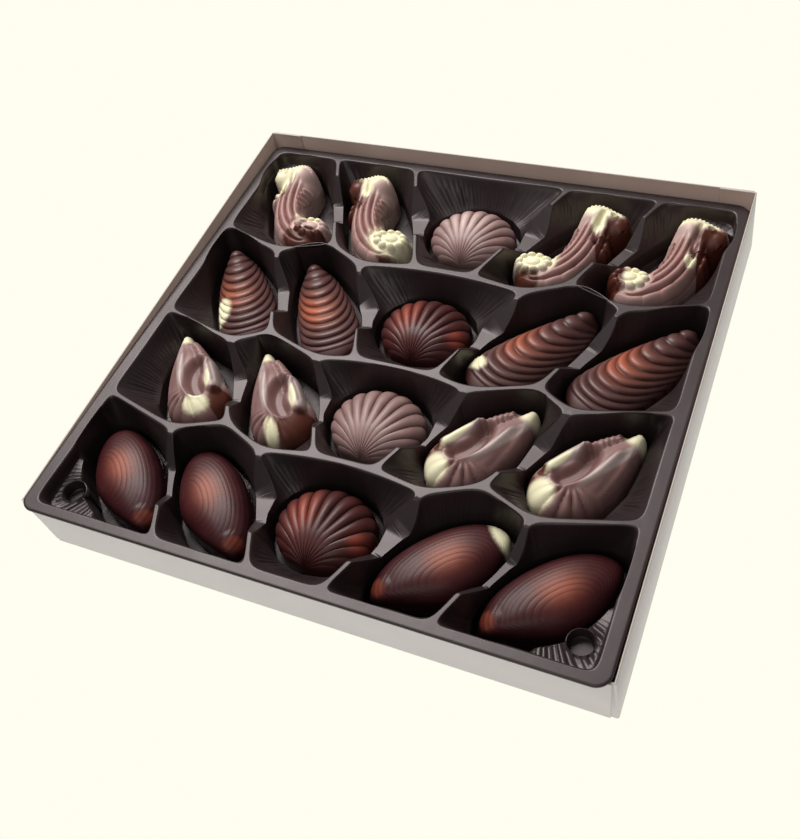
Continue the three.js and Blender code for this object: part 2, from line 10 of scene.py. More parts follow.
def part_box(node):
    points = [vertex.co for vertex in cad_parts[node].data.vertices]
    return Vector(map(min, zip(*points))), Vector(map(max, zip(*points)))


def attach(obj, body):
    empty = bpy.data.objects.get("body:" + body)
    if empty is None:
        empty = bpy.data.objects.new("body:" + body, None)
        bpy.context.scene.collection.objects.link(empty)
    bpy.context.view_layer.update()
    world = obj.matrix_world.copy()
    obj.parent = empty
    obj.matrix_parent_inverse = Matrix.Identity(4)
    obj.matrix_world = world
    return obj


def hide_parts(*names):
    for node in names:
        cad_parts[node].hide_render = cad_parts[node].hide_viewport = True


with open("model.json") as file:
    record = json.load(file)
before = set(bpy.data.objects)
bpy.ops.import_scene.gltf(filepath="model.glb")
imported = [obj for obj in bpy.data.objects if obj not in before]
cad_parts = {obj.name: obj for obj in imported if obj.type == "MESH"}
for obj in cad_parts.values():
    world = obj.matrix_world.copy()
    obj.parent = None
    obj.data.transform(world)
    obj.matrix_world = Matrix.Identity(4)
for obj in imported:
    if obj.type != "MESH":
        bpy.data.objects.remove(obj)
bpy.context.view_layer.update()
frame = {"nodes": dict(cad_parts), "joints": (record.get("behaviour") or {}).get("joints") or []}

# Carton: the open base of a folding box, cut from one blank of coated board half a millimetre thick.
# The side walls turn round the corners as tabs, which are glued behind the front and back walls.
# The right wall leans in a little, and the front and back walls are cut narrower at the foot.
MM = 0.001
CUT_EDGE_ROUNDING = 0.1 * MM
FOLD_ROUNDING = 0.7 * MM
BOARD = 0.5 * MM
TAB_SHOWN = 3.5 * MM
PANEL_END_TOP = 1.0 * MM
PANEL_END_FOOT = 2.4 * MM
RIGHT_RIM_LEAN = 1.05 * MM
END_WALL_REACH = 0.6 * MM
CLOSE = 0.01 * MM


def add_node(tree, kind, inputs=None, **settings):
    """A node with its settings made, its plain inputs set and its linked inputs joined up."""
    node = tree.nodes.new(kind)
    for name, value in settings.items():
        setattr(node, name, value)
    for name, value in (inputs or {}).items():
        if isinstance(value, bpy.types.NodeSocket):
            tree.links.new(value, node.inputs[name])
        else:
            node.inputs[name].default_value = value
    return node


def new_material(name, constants):
    """A material whose surface has the given plain values, with its node tree and surface node."""
    material = bpy.data.materials.new(name)
    material.use_nodes = True
    surface = material.node_tree.nodes["Principled BSDF"]
    for socket, value in constants.items():
        surface.inputs[socket].default_value = value
    return material, material.node_tree, surface


def mixed_colour(tree, share, first, second):
    """The colour socket of a blend from the first to the second colour."""
    blend = add_node(tree, "ShaderNodeMix", data_type="RGBA")
    for index, value in ((0, share), (6, first), (7, second)):
        if isinstance(value, bpy.types.NodeSocket):
            tree.links.new(value, blend.inputs[index])
        else:
            blend.inputs[index].default_value = value
    return blend.outputs[2]


def noise(tree, place, scale, detail):
    """The value socket of a soft noise."""
    texture = add_node(tree, "ShaderNodeTexNoise", {"Vector": place, "Scale": scale, "Detail": detail})
    return texture.outputs["Fac"]


def ranged(tree, value, low, high):
    """The socket of a value that runs from low to high."""
    return add_node(tree, "ShaderNodeMapRange", {"Value": value, "To Min": low, "To Max": high}).outputs[0]


def dress(tree, surface, colour, roughness, height, strength, distance):
    """Feeds a surface its colour and roughness, and a fine bump of the given height."""
    bump = add_node(tree, "ShaderNodeBump", {"Height": height, "Strength": strength, "Distance": distance})
    for name, socket in (("Base Color", colour), ("Roughness", roughness), ("Normal", bump.outputs[0])):
        tree.links.new(socket, surface.inputs[name])


def board_finish(name, colour, fibre_colour, roughness, metallic):
    """Coated board: a pearly skin with faint mottling and long paper fibres under it."""
    material, tree, surface = new_material(name, {"Metallic": metallic})
    place = add_node(tree, "ShaderNodeTexCoord").outputs["Object"]
    stretched = add_node(tree, "ShaderNodeMapping", {"Vector": place, "Scale": (60.0, 60.0, 400.0)})
    fibres = noise(tree, stretched.outputs[0], 4.0, 5.0)
    share = add_node(tree, "ShaderNodeMapRange", {
        "Value": noise(tree, place, 45.0, 3.0), "From Min": 0.35, "From Max": 0.75, "To Max": 0.55})
    skin = mixed_colour(tree, share.outputs[0], colour, fibre_colour)
    rough = ranged(tree, fibres, roughness - 0.06, roughness + 0.08)
    dress(tree, surface, skin, rough, fibres, 0.12, 0.05 * MM)
    return material


carton_shape = bmesh.new()
carton_shape.from_mesh(frame["nodes"]["carton"].data)
bmesh.ops.remove_doubles(carton_shape, verts=carton_shape.verts, dist=2 * CLOSE)
bmesh.ops.dissolve_limit(
    carton_shape, angle_limit=math.radians(1), verts=carton_shape.verts, edges=carton_shape.edges)
carton_low, carton_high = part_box("carton")
for vertex in carton_shape.verts:
    height = vertex.co.z / carton_high.z
    from_side = carton_high.x - abs(vertex.co.x)
    if abs(from_side - TAB_SHOWN) < CLOSE:
        from_side = PANEL_END_FOOT + (PANEL_END_TOP - PANEL_END_FOOT) * height
        vertex.co.x = math.copysign(carton_high.x - from_side, vertex.co.x)
    if vertex.co.x > 0 and from_side < TAB_SHOWN:
        vertex.co.x -= RIGHT_RIM_LEAN * height


def is_outer_fold(edge):
    """True for the four upright folds and the folds round the base."""
    first, second = (v.co for v in edge.verts)
    middle = (first + second) / 2
    right_side = carton_high.x - RIGHT_RIM_LEAN * middle.z / carton_high.z
    at_side = min(middle.x - carton_low.x, right_side - middle.x) < CLOSE
    at_end = min(middle.y - carton_low.y, carton_high.y - middle.y) < END_WALL_REACH
    at_foot = middle.z < CLOSE
    return edge.calc_face_angle(0) > 1 and at_side + at_end + at_foot > 1


folds = [edge for edge in carton_shape.edges if is_outer_fold(edge)]
cuts = [edge for edge in carton_shape.edges if edge.calc_face_angle(0) > 1 and edge not in set(folds)]
bmesh.ops.bevel(carton_shape, geom=cuts, offset=CUT_EDGE_ROUNDING, segments=1, affect="EDGES")
folds = [edge for edge in carton_shape.edges if edge.is_valid and is_outer_fold(edge)]
bmesh.ops.bevel(carton_shape, geom=folds, offset=FOLD_ROUNDING, segments=3, profile=0.5, affect="EDGES")
carton_middle = (carton_low + carton_high) / 2
# Faces that look inward, and the carton's floor, take the inner board colour: white board in painted shade,
# with a painted reflection of the brown tray.
for face in carton_shape.faces:
    middle = face.calc_center_median()
    facing_in = (middle - carton_middle).to_2d().dot(face.normal.to_2d()) < -1e-6
    on_floor = face.normal.z > 0.5 and middle.z < 2 * BOARD
    on_rim = middle.z > carton_high.z - 1.5 * CUT_EDGE_ROUNDING
    face.material_index = 2 if on_rim else int(facing_in or on_floor)

carton_mesh = bpy.data.meshes.new("carton_board")
carton_shape.to_mesh(carton_mesh)
carton_shape.free()
# The second finish is the white board painted as shade, with a painted reflection of the tray.
for board in (
        ("pearl_board", (0.64, 0.60, 0.63, 1), (0.56, 0.52, 0.55, 1), 0.38, 0.2),
        ("inner_board_shade", (0.42, 0.31, 0.265, 1), (0.34, 0.24, 0.205, 1), 0.36, 0.1),
        ("raw_board_edge", (0.46, 0.41, 0.37, 1), (0.38, 0.33, 0.29, 1), 0.7, 0.0)):
    carton_mesh.materials.append(board_finish(*board))
carton_mesh.set_sharp_from_angle(angle=math.radians(35))
carton_board = bpy.data.objects.new("carton_board", carton_mesh)
bpy.context.scene.collection.objects.link(carton_board)
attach(carton_board, "carton")
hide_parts("carton")

# Tray: one sheet of dark brown plastic, heated and drawn by vacuum into twenty pockets. Zigzag ridges
# part the rows, a finger channel dips through each row, and the walls are fluted to keep them stiff.
# Its frame lies on the flange, in millimetres: x to the right, y to the back, z out of the pockets.
tray_up = Vector(next(j for j in frame["joints"] if j["name"] == "seahorse_1_lift")["axis"]).normalized()
tray_across = Vector((1, 0, 0))
tray_turn = Matrix((tray_across, tray_up.cross(tray_across), tray_up))
tray_points = np.array([tray_turn @ v.co for v in frame["nodes"]["tray"].data.vertices])
tray_low, tray_high = tray_points.min(0), tray_points.max(0)
tray_middle = (tray_low + tray_high) / 2
tray_origin = tray_turn.transposed() @ Vector((tray_middle[0], tray_middle[1], tray_high[2]))
tray_frame = Matrix.Translation(tray_origin) @ tray_turn.transposed().to_4x4() @ Matrix.Scale(MM, 4)
tray_half = (tray_high - tray_low)[:2] / 2 / MM

ROWS = [
    {"kind": "seahorse", "depth": 54.5, "inner": 40.0, "outer": 76.0, "wall_lean": 10.5, "lean": 0},
    {"kind": "turret", "depth": 48.0, "inner": 41.9, "outer": 78.0, "wall_lean": 8.8, "lean": 35},
    {"kind": "conch", "depth": 42.0, "inner": 37.5, "outer": 73.0, "wall_lean": 8.6, "lean": 32},
    {"kind": "mussel", "depth": 44.5, "inner": 38.7, "outer": 73.8, "wall_lean": 8.5, "lean": 43},
]
ROW_SHIFT = 3.0
FLANGE_SIDE = 3.8
FLANGE_END = 3.0
TRAY_CORNER = 5.0
RIDGE = 0.8
CREST = [(-0.12, 0.0), (0.0, 0.0), (0.22, 0.03), (0.45, 0.12), (0.68, 0.3), (0.88, 0.58)]
POCKET_EDGE = tray_half[0] - FLANGE_SIDE
POCKET_DEPTH = 19.0
SHOULDER_DEPTH = 11.5
SHOULDER_MARGIN = 1.8
BROW_ROOM = 0.9
CREST_ROOM = 2.5
WIDE_WALL = (3.5, 8.0)
WALL_SHARES = [0.06, 0.12, 0.2, 0.3, 0.42, 0.55, 0.68, 0.8, 0.9, 1]
STEEP_WALL = [(0.0, 12.2), (-0.1, 17.6), (-0.2, 18.7), (-0.6, POCKET_DEPTH), (-4.5, POCKET_DEPTH)]
POCKET_CLEARANCE = 0.5
WALL_ROOM = 1.4
PUSH_STEPS = range(-9, 10)
CORNER_SHARPNESS = 14
CHANNEL_DEPTH = 9.0
CHANNEL_FLOOR = 10.0
CHANNEL_SLOPE = 8.5
SPOKES = 360
FLUTES = 84
FLUTE_DEPTH = 0.6
SHELF_SPREAD = math.radians(46)
SHELF_HEADING = np.array((0.72, 0.69))
SHELF_SHARES = np.linspace(0.06, 1, 34)
SHELF_PROFILE = ([0, 0.04, 0.12, 0.88, 0.95, 1], [0, 0.1, 0.44, 0.5, 0.75, 1])
DIMPLE_RADIUS = 4.1
DIMPLE_DEPTH = 10.2
DIMPLE_INSETS = (11.5, 13.7)
DIMPLE_STEPS = 64
DIMPLE_MARGIN = 0.7
LIP_RINGS = [(1.0, 0.0), (0.6, 0.0), (0.25, 0.08), (0.05, 0.3), (0.0, 0.8)]
EDGE_STEPS = 12
SHEET = 0.5
WELD = 0.004
COLUMNS = 5
BENDS = {"end": 5.0, "back_wall": -3.4, "front_wall": 4.3, "centre": 0.4}


def eased(low, high, value):
    """A smooth step from 0 at low to 1 at high."""
    share = np.clip((value - low) / (high - low), 0, 1)
    return share * share * (3 - 2 * share)


def row_line(y, flat, behind, before):
    """Corners of the ridge on one row line, right half. A flat line lies along the flange."""
    def bend(name):
        return y if flat else y + BENDS[name]

    def wall(row, sign, column):
        return row[column] - (row["outer"] - row["inner"]) / 2 + sign * row["wall_lean"]

    line = {"end": (POCKET_EDGE, bend("end"))}
    if before:
        line["outer_back"] = (wall(before, 1, "outer"), bend("back_wall"))
        line["inner_back"] = (wall(before, 1, "inner"), bend("back_wall"))
    if behind:
        line["outer_front"] = (wall(behind, -1, "outer"), bend("front_wall"))
        line["inner_front"] = (wall(behind, -1, "inner"), bend("centre"))
    return line


row_lines = []
line_y = tray_half[1] - FLANGE_END
for k in range(len(ROWS) + 1):
    behind_row = ROWS[k - 1] if k else None
    before_row = ROWS[k] if k < len(ROWS) else None
    row_lines.append(row_line(line_y, k in (0, len(ROWS)), behind_row, before_row))
    if before_row:
        before_row["middle"] = line_y - before_row["depth"] / 2 + ROW_SHIFT
        line_y -= before_row["depth"]


def pocket_outline(k, column):
    """The convex outline of one pocket, counter-clockwise, for the columns 0 (left) to 4 (right)."""
    back, front = row_lines[k], row_lines[k + 1]
    if column == 2:
        right = [back[name] for name in ("inner_back", "inner_front") if name in back]
        left = [(-x, y) for x, y in reversed(right)]
        x, y = front["inner_front"]
        return [*right, *left, (-x, y), (x, y)]
    if column in (0, 4):
        corners = [back.get("end"), back.get("outer_back"), front.get("outer_front"),
                   front.get("outer_back"), front.get("end")]
    else:
        corners = [back.get("outer_back"), back.get("outer_front"), back.get("inner_back"),
                   front.get("inner_front"), front.get("inner_back"), front.get("outer_front")]
    corners = [corner for corner in corners if corner]
    return [(-x, y) for x, y in reversed(corners)] if column < 2 else corners


def reach_to(outline, middle, directions, inset, sharpness=None):
    """How far the sides of a convex outline, moved in by an inset, lie from a middle point."""
    corners = np.array(outline) - middle
    sides = np.roll(corners, -1, axis=0) - corners
    lengths = np.linalg.norm(sides, axis=1)
    corners, sides, lengths = (part[lengths > 0.001] for part in (corners, sides, lengths))
    normals = np.stack([sides[:, 1], -sides[:, 0]], 1) / lengths[:, None]
    distances = (normals * corners).sum(1) - inset
    nearness = np.maximum(directions @ normals.T, 0) / distances
    if sharpness is None:
        return 1 / nearness.max(1)
    return (nearness ** sharpness).sum(1) ** (-1 / sharpness)


def channel_dip(row, points):
    """How deep the finger channel lies under the flange at points of the row."""
    away = np.abs(points[:, 1] - row["middle"])
    dip = CHANNEL_DEPTH * np.clip((CHANNEL_FLOOR / 2 + CHANNEL_SLOPE - away) / CHANNEL_SLOPE, 0, 1)
    return np.where(np.abs(points[:, 0]) < row["outer"], dip, 0)


def pocket_middle(row, column):
    """Where the middle of a pocket lies, for the columns 0 (left) to 4 (right)."""
    return (-row["outer"], -row["inner"], 0, row["inner"], row["outer"])[column], row["middle"]


def pocket_wall(k, column, praline):
    """Rings of points from a pocket's rim down to its floor, and the middle of the floor."""
    row = ROWS[k]
    middle = np.array(pocket_middle(row, column))
    turns = np.linspace(-math.pi, math.pi, SPOKES, endpoint=False)
    directions = np.stack([np.cos(turns), np.sin(turns)], 1)
    to_tray = tray_frame.inverted()
    plan = [(to_tray @ v.co).to_2d() for v in frame["nodes"][praline].data.vertices]
    footprint = [tuple(plan[i]) for i in geometry.convex_hull_2d(plan)]
    floor = reach_to(footprint, middle, directions, 0) + POCKET_CLEARANCE
    rim = reach_to(pocket_outline(k, column), middle, directions, RIDGE / 2, CORNER_SHARPNESS)
    push = np.maximum(floor + WALL_ROOM - rim, 0)
    push = np.max([np.roll(push, step) for step in PUSH_STEPS], axis=0)
    rim = rim + np.mean([np.roll(push, step) for step in PUSH_STEPS], axis=0)
    shoulder = np.minimum(floor + SHOULDER_MARGIN, rim - BROW_ROOM)
    dip = np.zeros(SPOKES)
    for _ in range(4):
        edge = rim + (shoulder - rim) * dip / SHOULDER_DEPTH
        dip = channel_dip(row, middle + directions * edge[:, None])
    wide = eased(*WIDE_WALL, edge - shoulder)
    corner = np.zeros(SPOKES)
    if column in (0, 4) and k in (0, 3):
        heading = directions @ (SHELF_HEADING * (np.sign(middle[0]), 1 if k == 0 else -1))
        corner = eased(math.cos(SHELF_SPREAD), math.cos(0.8 * SHELF_SPREAD), heading)
    flute = np.abs(np.sin(FLUTES / 2 * turns)) ** 0.7 * (0.1 + 0.9 * wide)
    squeeze = np.clip((edge - shoulder) / CREST_ROOM, 0.1, 1)
    rings = []
    for inward, drop in CREST:
        points = middle + directions * (edge - inward * squeeze)[:, None]
        rings.append(np.column_stack([points, -channel_dip(row, points) - drop * squeeze]))
    brow, brow_drop = edge - CREST[-1][0] * squeeze, -rings[-1][:, 2]
    for share in SHELF_SHARES if corner.any() else WALL_SHARES:
        shelf = np.interp(share, *SHELF_PROFILE)
        fall = share + (shelf - share) * corner
        reach = brow + (shoulder - brow) * share
        fluted = float(eased(0.05, 0.3, share) * eased(1, 0.8, share))
        z = -brow_drop - (SHOULDER_DEPTH - brow_drop) * fall
        z -= FLUTE_DEPTH * flute * fluted * (1 - dip / SHOULDER_DEPTH)
        rings.append(np.column_stack([middle + directions * reach[:, None], z]))
    for inward, depth in STEEP_WALL:
        reach = np.maximum(shoulder + inward, 1)
        rings.append(np.column_stack([middle + directions * reach[:, None], np.full(SPOKES, -depth)]))
    return rings, (*middle, -POCKET_DEPTH)


def rounded_rectangle(half, radius, steps):
    """Points of a rectangle with round corners, counter-clockwise."""
    points = []
    for quarter, (sx, sy) in enumerate(((1, 1), (-1, 1), (-1, -1), (1, -1))):
        for turn in np.linspace(0, math.pi / 2, steps) + quarter * math.pi / 2:
            points.append((sx * (half[0] - radius) + radius * math.cos(turn),
                           sy * (half[1] - radius) + radius * math.sin(turn)))
    return np.array(points)


tray_vertices = []
tray_faces = []


def add_ring(points):
    """Adds a ring of points to the tray and returns the number of its first point."""
    tray_vertices.extend(map(tuple, points))
    return len(tray_vertices) - len(points)


def join_rings(outer, inner, count):
    """Faces between two rings of equally many points, seen from above."""
    for i in range(count):
        j = (i + 1) % count
        tray_faces.append((outer + i, outer + j, inner + j, inner + i))


pralines = {}
rim_rings = []
pocket_middles = []
for k, row in enumerate(ROWS):
    for column in range(COLUMNS):
        order = column + 1 if column < 2 else column
        praline = f"scallop_{k + 1}" if column == 2 else f"{row['kind']}_{order}"
        pralines[praline] = (k, column)
        rings, floor_middle = pocket_wall(k, column, praline)
        firsts = [add_ring(ring) for ring in rings]
        for outer, inner in zip(firsts, firsts[1:]):
            join_rings(outer, inner, SPOKES)
        tray_vertices.append(floor_middle)
        for i in range(SPOKES):
            tray_faces.append((firsts[-1] + i, firsts[-1] + (i + 1) % SPOKES, len(tray_vertices) - 1))
        rim_rings.append(rings[0])
        pocket_middles.append(floor_middle[:2])

lips = []
for inset, drop in LIP_RINGS:
    plan = rounded_rectangle(tray_half - inset, TRAY_CORNER - inset, EDGE_STEPS)
    lips.append(add_ring(np.column_stack([plan, np.full(len(plan), -drop)])))
for outer, inner in zip(lips[1:], lips):
    join_rings(outer, inner, 4 * EDGE_STEPS)

# The flat top of the flange and ridges, between the lip and the pockets' rims
lip_inset = LIP_RINGS[0][0]
lip_plan = rounded_rectangle(tray_half - lip_inset, TRAY_CORNER - lip_inset, EDGE_STEPS)
plan_points = [Vector(p) for p in lip_plan]
plan_edges = [(i, (i + 1) % len(plan_points)) for i in range(len(plan_points))]
for ring in rim_rings:
    first = len(plan_points)
    plan_points.extend(Vector(p[:2]) for p in ring)
    plan_edges.extend((first + i, first + (i + 1) % SPOKES) for i in range(SPOKES))
flat_points, _, flat_faces, *_ = geometry.delaunay_2d_cdt(plan_points, plan_edges, [], 1, 1e-5)
flat = np.array([tuple(p) for p in flat_points])
flat_faces = np.array(flat_faces)
face_middles = flat[flat_faces].mean(1)
over_pocket = np.zeros(len(flat_faces), bool)
for ring, middle in zip(rim_rings, pocket_middles):
    out = face_middles - middle
    spoke = ((np.arctan2(out[:, 1], out[:, 0]) + math.pi) / (2 * math.pi) * SPOKES).astype(int) % SPOKES
    here, ahead = ring[spoke, :2], ring[(spoke + 1) % SPOKES, :2]
    along, beyond = ahead - here, face_middles - here
    over_pocket |= along[:, 0] * beyond[:, 1] - along[:, 1] * beyond[:, 0] > 0
heights = np.zeros(len(flat))
for row in ROWS:
    heights -= channel_dip(row, flat)
first = add_ring(np.column_stack([flat, heights]))
for face in flat_faces[~over_pocket]:
    tray_faces.append(tuple(first + int(i) for i in face))

tray_mesh = bpy.data.meshes.new("tray_sheet")
tray_mesh.from_pydata(tray_vertices, [], tray_faces)
tray_shape = bmesh.new()
tray_shape.from_mesh(tray_mesh)
bmesh.ops.remove_doubles(tray_shape, verts=tray_shape.verts, dist=WELD)
for side in (-1, 1):
    hole = Vector((side * (tray_half[0] - DIMPLE_INSETS[0]), DIMPLE_INSETS[1] - tray_half[1]))
    cleared = DIMPLE_RADIUS + DIMPLE_MARGIN
    near = [f for f in tray_shape.faces if (f.calc_center_median().to_2d() - hole).length < cleared]
    bmesh.ops.delete(tray_shape, geom=near, context="FACES")
    border = [e for e in tray_shape.edges if e.is_boundary
              and ((e.verts[0].co + e.verts[1].co).to_2d() / 2 - hole).length < DIMPLE_RADIUS + 2]
    patch = list(dict.fromkeys(v for e in border for v in e.verts))
    links = [(patch.index(e.verts[0]), patch.index(e.verts[1])) for e in border]
    shelf_height = max(v.co.z for v in patch)
    circles = []
    for radius, height in ((DIMPLE_RADIUS, shelf_height), (DIMPLE_RADIUS - 0.15, shelf_height - 0.25),
                           (DIMPLE_RADIUS - 0.4, 0.4 - DIMPLE_DEPTH), (DIMPLE_RADIUS - 0.8, -DIMPLE_DEPTH)):
        circles.append([
            tray_shape.verts.new((hole.x + radius * math.cos(t), hole.y + radius * math.sin(t), height))
            for t in np.linspace(0, 2 * math.pi, DIMPLE_STEPS, endpoint=False)])
    links += [(len(patch) + i, len(patch) + (i + 1) % DIMPLE_STEPS) for i in range(DIMPLE_STEPS)]
    patch += circles[0]
    patch_plan = [v.co.to_2d() for v in patch]
    _, _, fills, sources, *_ = geometry.delaunay_2d_cdt(patch_plan, links, [], 1, 1e-6)
    for fill in fills:
        corners = [patch[sources[i][0]] for i in fill]
        middle = sum((v.co for v in corners), Vector()) / 3
        if (middle.to_2d() - hole).length > DIMPLE_RADIUS * 0.998:
            tray_shape.faces.new(corners)
    for above, below in zip(circles, circles[1:]):
        for i in range(DIMPLE_STEPS):
            j = (i + 1) % DIMPLE_STEPS
            tray_shape.faces.new((above[i], above[j], below[j], below[i]))
    tray_shape.faces.new(circles[-1])
bmesh.ops.recalc_face_normals(tray_shape, faces=tray_shape.faces)
for face in tray_shape.faces:
    face.normal_update()
    if face.normal.z < 0 and abs(face.normal.z) > 0.3:
        face.normal_flip()
tray_shape.transform(tray_frame)
tray_shape.to_mesh(tray_mesh)
tray_shape.free()
tray_mesh.shade_smooth()
tray_mesh.set_sharp_from_angle(angle=math.radians(40))
tray_sheet = bpy.data.objects.new("tray_sheet", tray_mesh)
bpy.context.scene.collection.objects.link(tray_sheet)
thickness = tray_sheet.modifiers.new("sheet", "SOLIDIFY")
thickness.thickness = SHEET * MM
thickness.offset = -1

material, tree, surface = new_material("brown_sheet", {"Specular Tint": (1.0, 0.90, 0.92, 1)})
place = add_node(tree, "ShaderNodeTexCoord").outputs["Object"]
haze = noise(tree, place, 60.0, 4.0)
tint = mixed_colour(tree, haze, (0.014, 0.009, 0.009, 1), (0.028, 0.019, 0.019, 1))
dress(tree, surface, tint, ranged(tree, haze, 0.34, 0.5), noise(tree, place, 160.0, 2.0), 0.25, 0.25 * MM)
tray_mesh.materials.append(material)
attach(tray_sheet, "tray")
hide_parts("tray")

# Fan-shell pralines, middle column: solid moulded chocolate, with round ribs that run from the smooth
# hinge at the front to the scalloped rim. Light and dark ones alternate from the back to the front.
FOOT_HEIGHT = 5.5
FOOT_DRAFT = 0.1
SEAT_GAP = 0.3
SCALLOP_WIDTH = 34.0
SCALLOP_LENGTH = 29.5
SCALLOP_HEIGHT = 15.0
SCALLOP_RIBS = 15
RIB_STEPS = 12
RIBS_BEGIN = (8.0, 19.0)
RIB_RELIEF = 0.13
FAN_SHARES = [0.04, 0.1, 0.18, 0.26, 0.34, 0.42, 0.5, 0.57, 0.64,
              0.7, 0.76, 0.81, 0.86, 0.9, 0.93, 0.96, 0.98, 1]
CREAM = (0.80, 0.75, 0.52, 1)
# Dark chocolate for the cocoa marbling, also used as painted shade at the conchs' foot.
COCOA_AND_SHADE = (0.085, 0.019, 0.010, 1)
MASKS = ("tint", "groove", "cream", "cocoa")
FAN_TURN = 2.8


def chocolate_skin():
    """The shared look of moulded chocolate: body colour, tinted bands and painted highlights, grooves
    darkened as painted shade, cream and cocoa marbling.
    """
    group = bpy.data.node_groups.new("chocolate_skin", "ShaderNodeTree")
    for name, kind in (("Body", "Color"), ("Tint", "Color"), ("Groove", "Color"), ("Tint Mask", "Float"),
                       ("Groove Mask", "Float"), ("Cream Mask", "Float"), ("Cocoa Mask", "Float"),
                       ("Place", "Vector")):
        group.interface.new_socket(name, in_out="INPUT", socket_type="NodeSocket" + kind)
    for name, kind in (("Color", "Color"), ("Roughness", "Float"), ("Height", "Float")):
        group.interface.new_socket(name, in_out="OUTPUT", socket_type="NodeSocket" + kind)
    inputs = add_node(group, "NodeGroupInput").outputs
    cloud = noise(group, inputs["Place"], 140.0, 3.0)
    grain = noise(group, inputs["Place"], 900.0, 3.0)

    def wavering(mask, low, high):
        shift = add_node(group, "ShaderNodeMath", {0: grain, 1: 0.12}, operation="MULTIPLY")
        summed = add_node(group, "ShaderNodeMath", {0: mask, 1: shift.outputs[0]}, operation="ADD")
        return add_node(group, "ShaderNodeMapRange", {
            "Value": summed.outputs[0], "From Min": low + 0.06, "From Max": high + 0.06},
            interpolation_type="SMOOTHSTEP").outputs[0]

    # The tint mask brings in copper or paler chocolate, and in places a painted highlight.
    colour = mixed_colour(group, inputs["Tint Mask"], inputs["Body"], inputs["Tint"])
    # Grooves and hollows take the groove colour: painted shade.
    colour = mixed_colour(group, inputs["Groove Mask"], colour, inputs["Groove"])
    depth = add_node(group, "ShaderNodeMapRange", {
        "Value": cloud, "From Min": 0.3, "From Max": 0.7, "To Min": 0.82, "To Max": 1.15})
    shade = add_node(group, "ShaderNodeVectorMath", {0: colour, "Scale": depth.outputs[0]}, operation="SCALE")
    cocoa = wavering(inputs["Cocoa Mask"], 0.46, 0.56)
    colour = mixed_colour(group, cocoa, shade.outputs[0], COCOA_AND_SHADE)
    cream = wavering(inputs["Cream Mask"], 0.36, 0.66)
    colour = mixed_colour(group, cream, colour, CREAM)
    rough = ranged(group, cloud, 0.4, 0.56)
    outputs = add_node(group, "NodeGroupOutput")
    for name, socket in (("Color", colour), ("Roughness", rough), ("Height", grain)):
        group.links.new(socket, outputs.inputs[name])
    return group


CHOCOLATE_SKIN = chocolate_skin()


def chocolate(name, body, tint, groove, coat=0.04, sheen=0.4):
    """A chocolate of its own body, tint and groove colour, marbled by its piece's masks. The groove colour is
    painted shade.
    """
    material, tree, surface = new_material(name, {
        "Coat Weight": coat, "Coat Roughness": 0.24, "Specular IOR Level": sheen})
    place = add_node(tree, "ShaderNodeTexCoord").outputs["Object"]
    masks = {f"{mask.title()} Mask": add_node(tree, "ShaderNodeAttribute", attribute_name=mask).outputs["Fac"]
             for mask in MASKS}
    skin = add_node(tree, "ShaderNodeGroup", node_tree=CHOCOLATE_SKIN)
    for socket, value in {"Body": body, "Tint": tint, "Groove": groove}.items():
        skin.inputs[socket].default_value = (*value, 1)
    for socket, value in {"Place": place, **masks}.items():
        tree.links.new(value, skin.inputs[socket])
    dress(tree, surface, *(skin.outputs[name] for name in ("Color", "Roughness", "Height")), 0.2, 0.06 * MM)
    return material


def set_praline(name, vertices, faces, masks, material):
    """Stands a left-hand form, in millimetres, in its pocket. Right-hand columns get its mirror image."""
    k, column = pralines[name]
    row = ROWS[k]
    hand = -1 if column > 2 else 1
    lean = 0 if column == 2 else hand * math.radians(row["lean"])
    placed = np.array(vertices, float)
    placed[:, 0] *= hand
    mesh = bpy.data.meshes.new(name + "_chocolate")
    mesh.from_pydata((placed * MM).tolist(), [], [face[::hand] for face in faces])
    for mask in MASKS:
        values = np.array(masks.get(mask, np.zeros(len(placed))), np.float32)
        mesh.attributes.new(mask, "FLOAT", "POINT").data.foreach_set("value", values)
    mesh.shade_smooth()
    mesh.set_sharp_from_angle(angle=math.radians(60))
    mesh.materials.append(material)
    piece = bpy.data.objects.new(name + "_chocolate", mesh)
    bpy.context.scene.collection.objects.link(piece)
    seat = Matrix.Translation((*pocket_middle(row, column), SEAT_GAP - POCKET_DEPTH))
    piece.matrix_world = tray_frame @ (seat @ Matrix.Rotation(lean, 4, "Z")) @ Matrix.Scale(1 / MM, 4)
    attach(piece, name)
    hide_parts(name)


def patches(plan, spots):
    """A mask of oval spots (x, y, half width, half length): one half on each oval's edge, more inside."""
    mask = np.zeros(len(plan))
    for x, y, half_width, half_length in spots:
        away = np.hypot((plan[:, 0] - x) / half_width, (plan[:, 1] - y) / half_length)
        mask = np.maximum(mask, 1 - away / 2)
    return mask


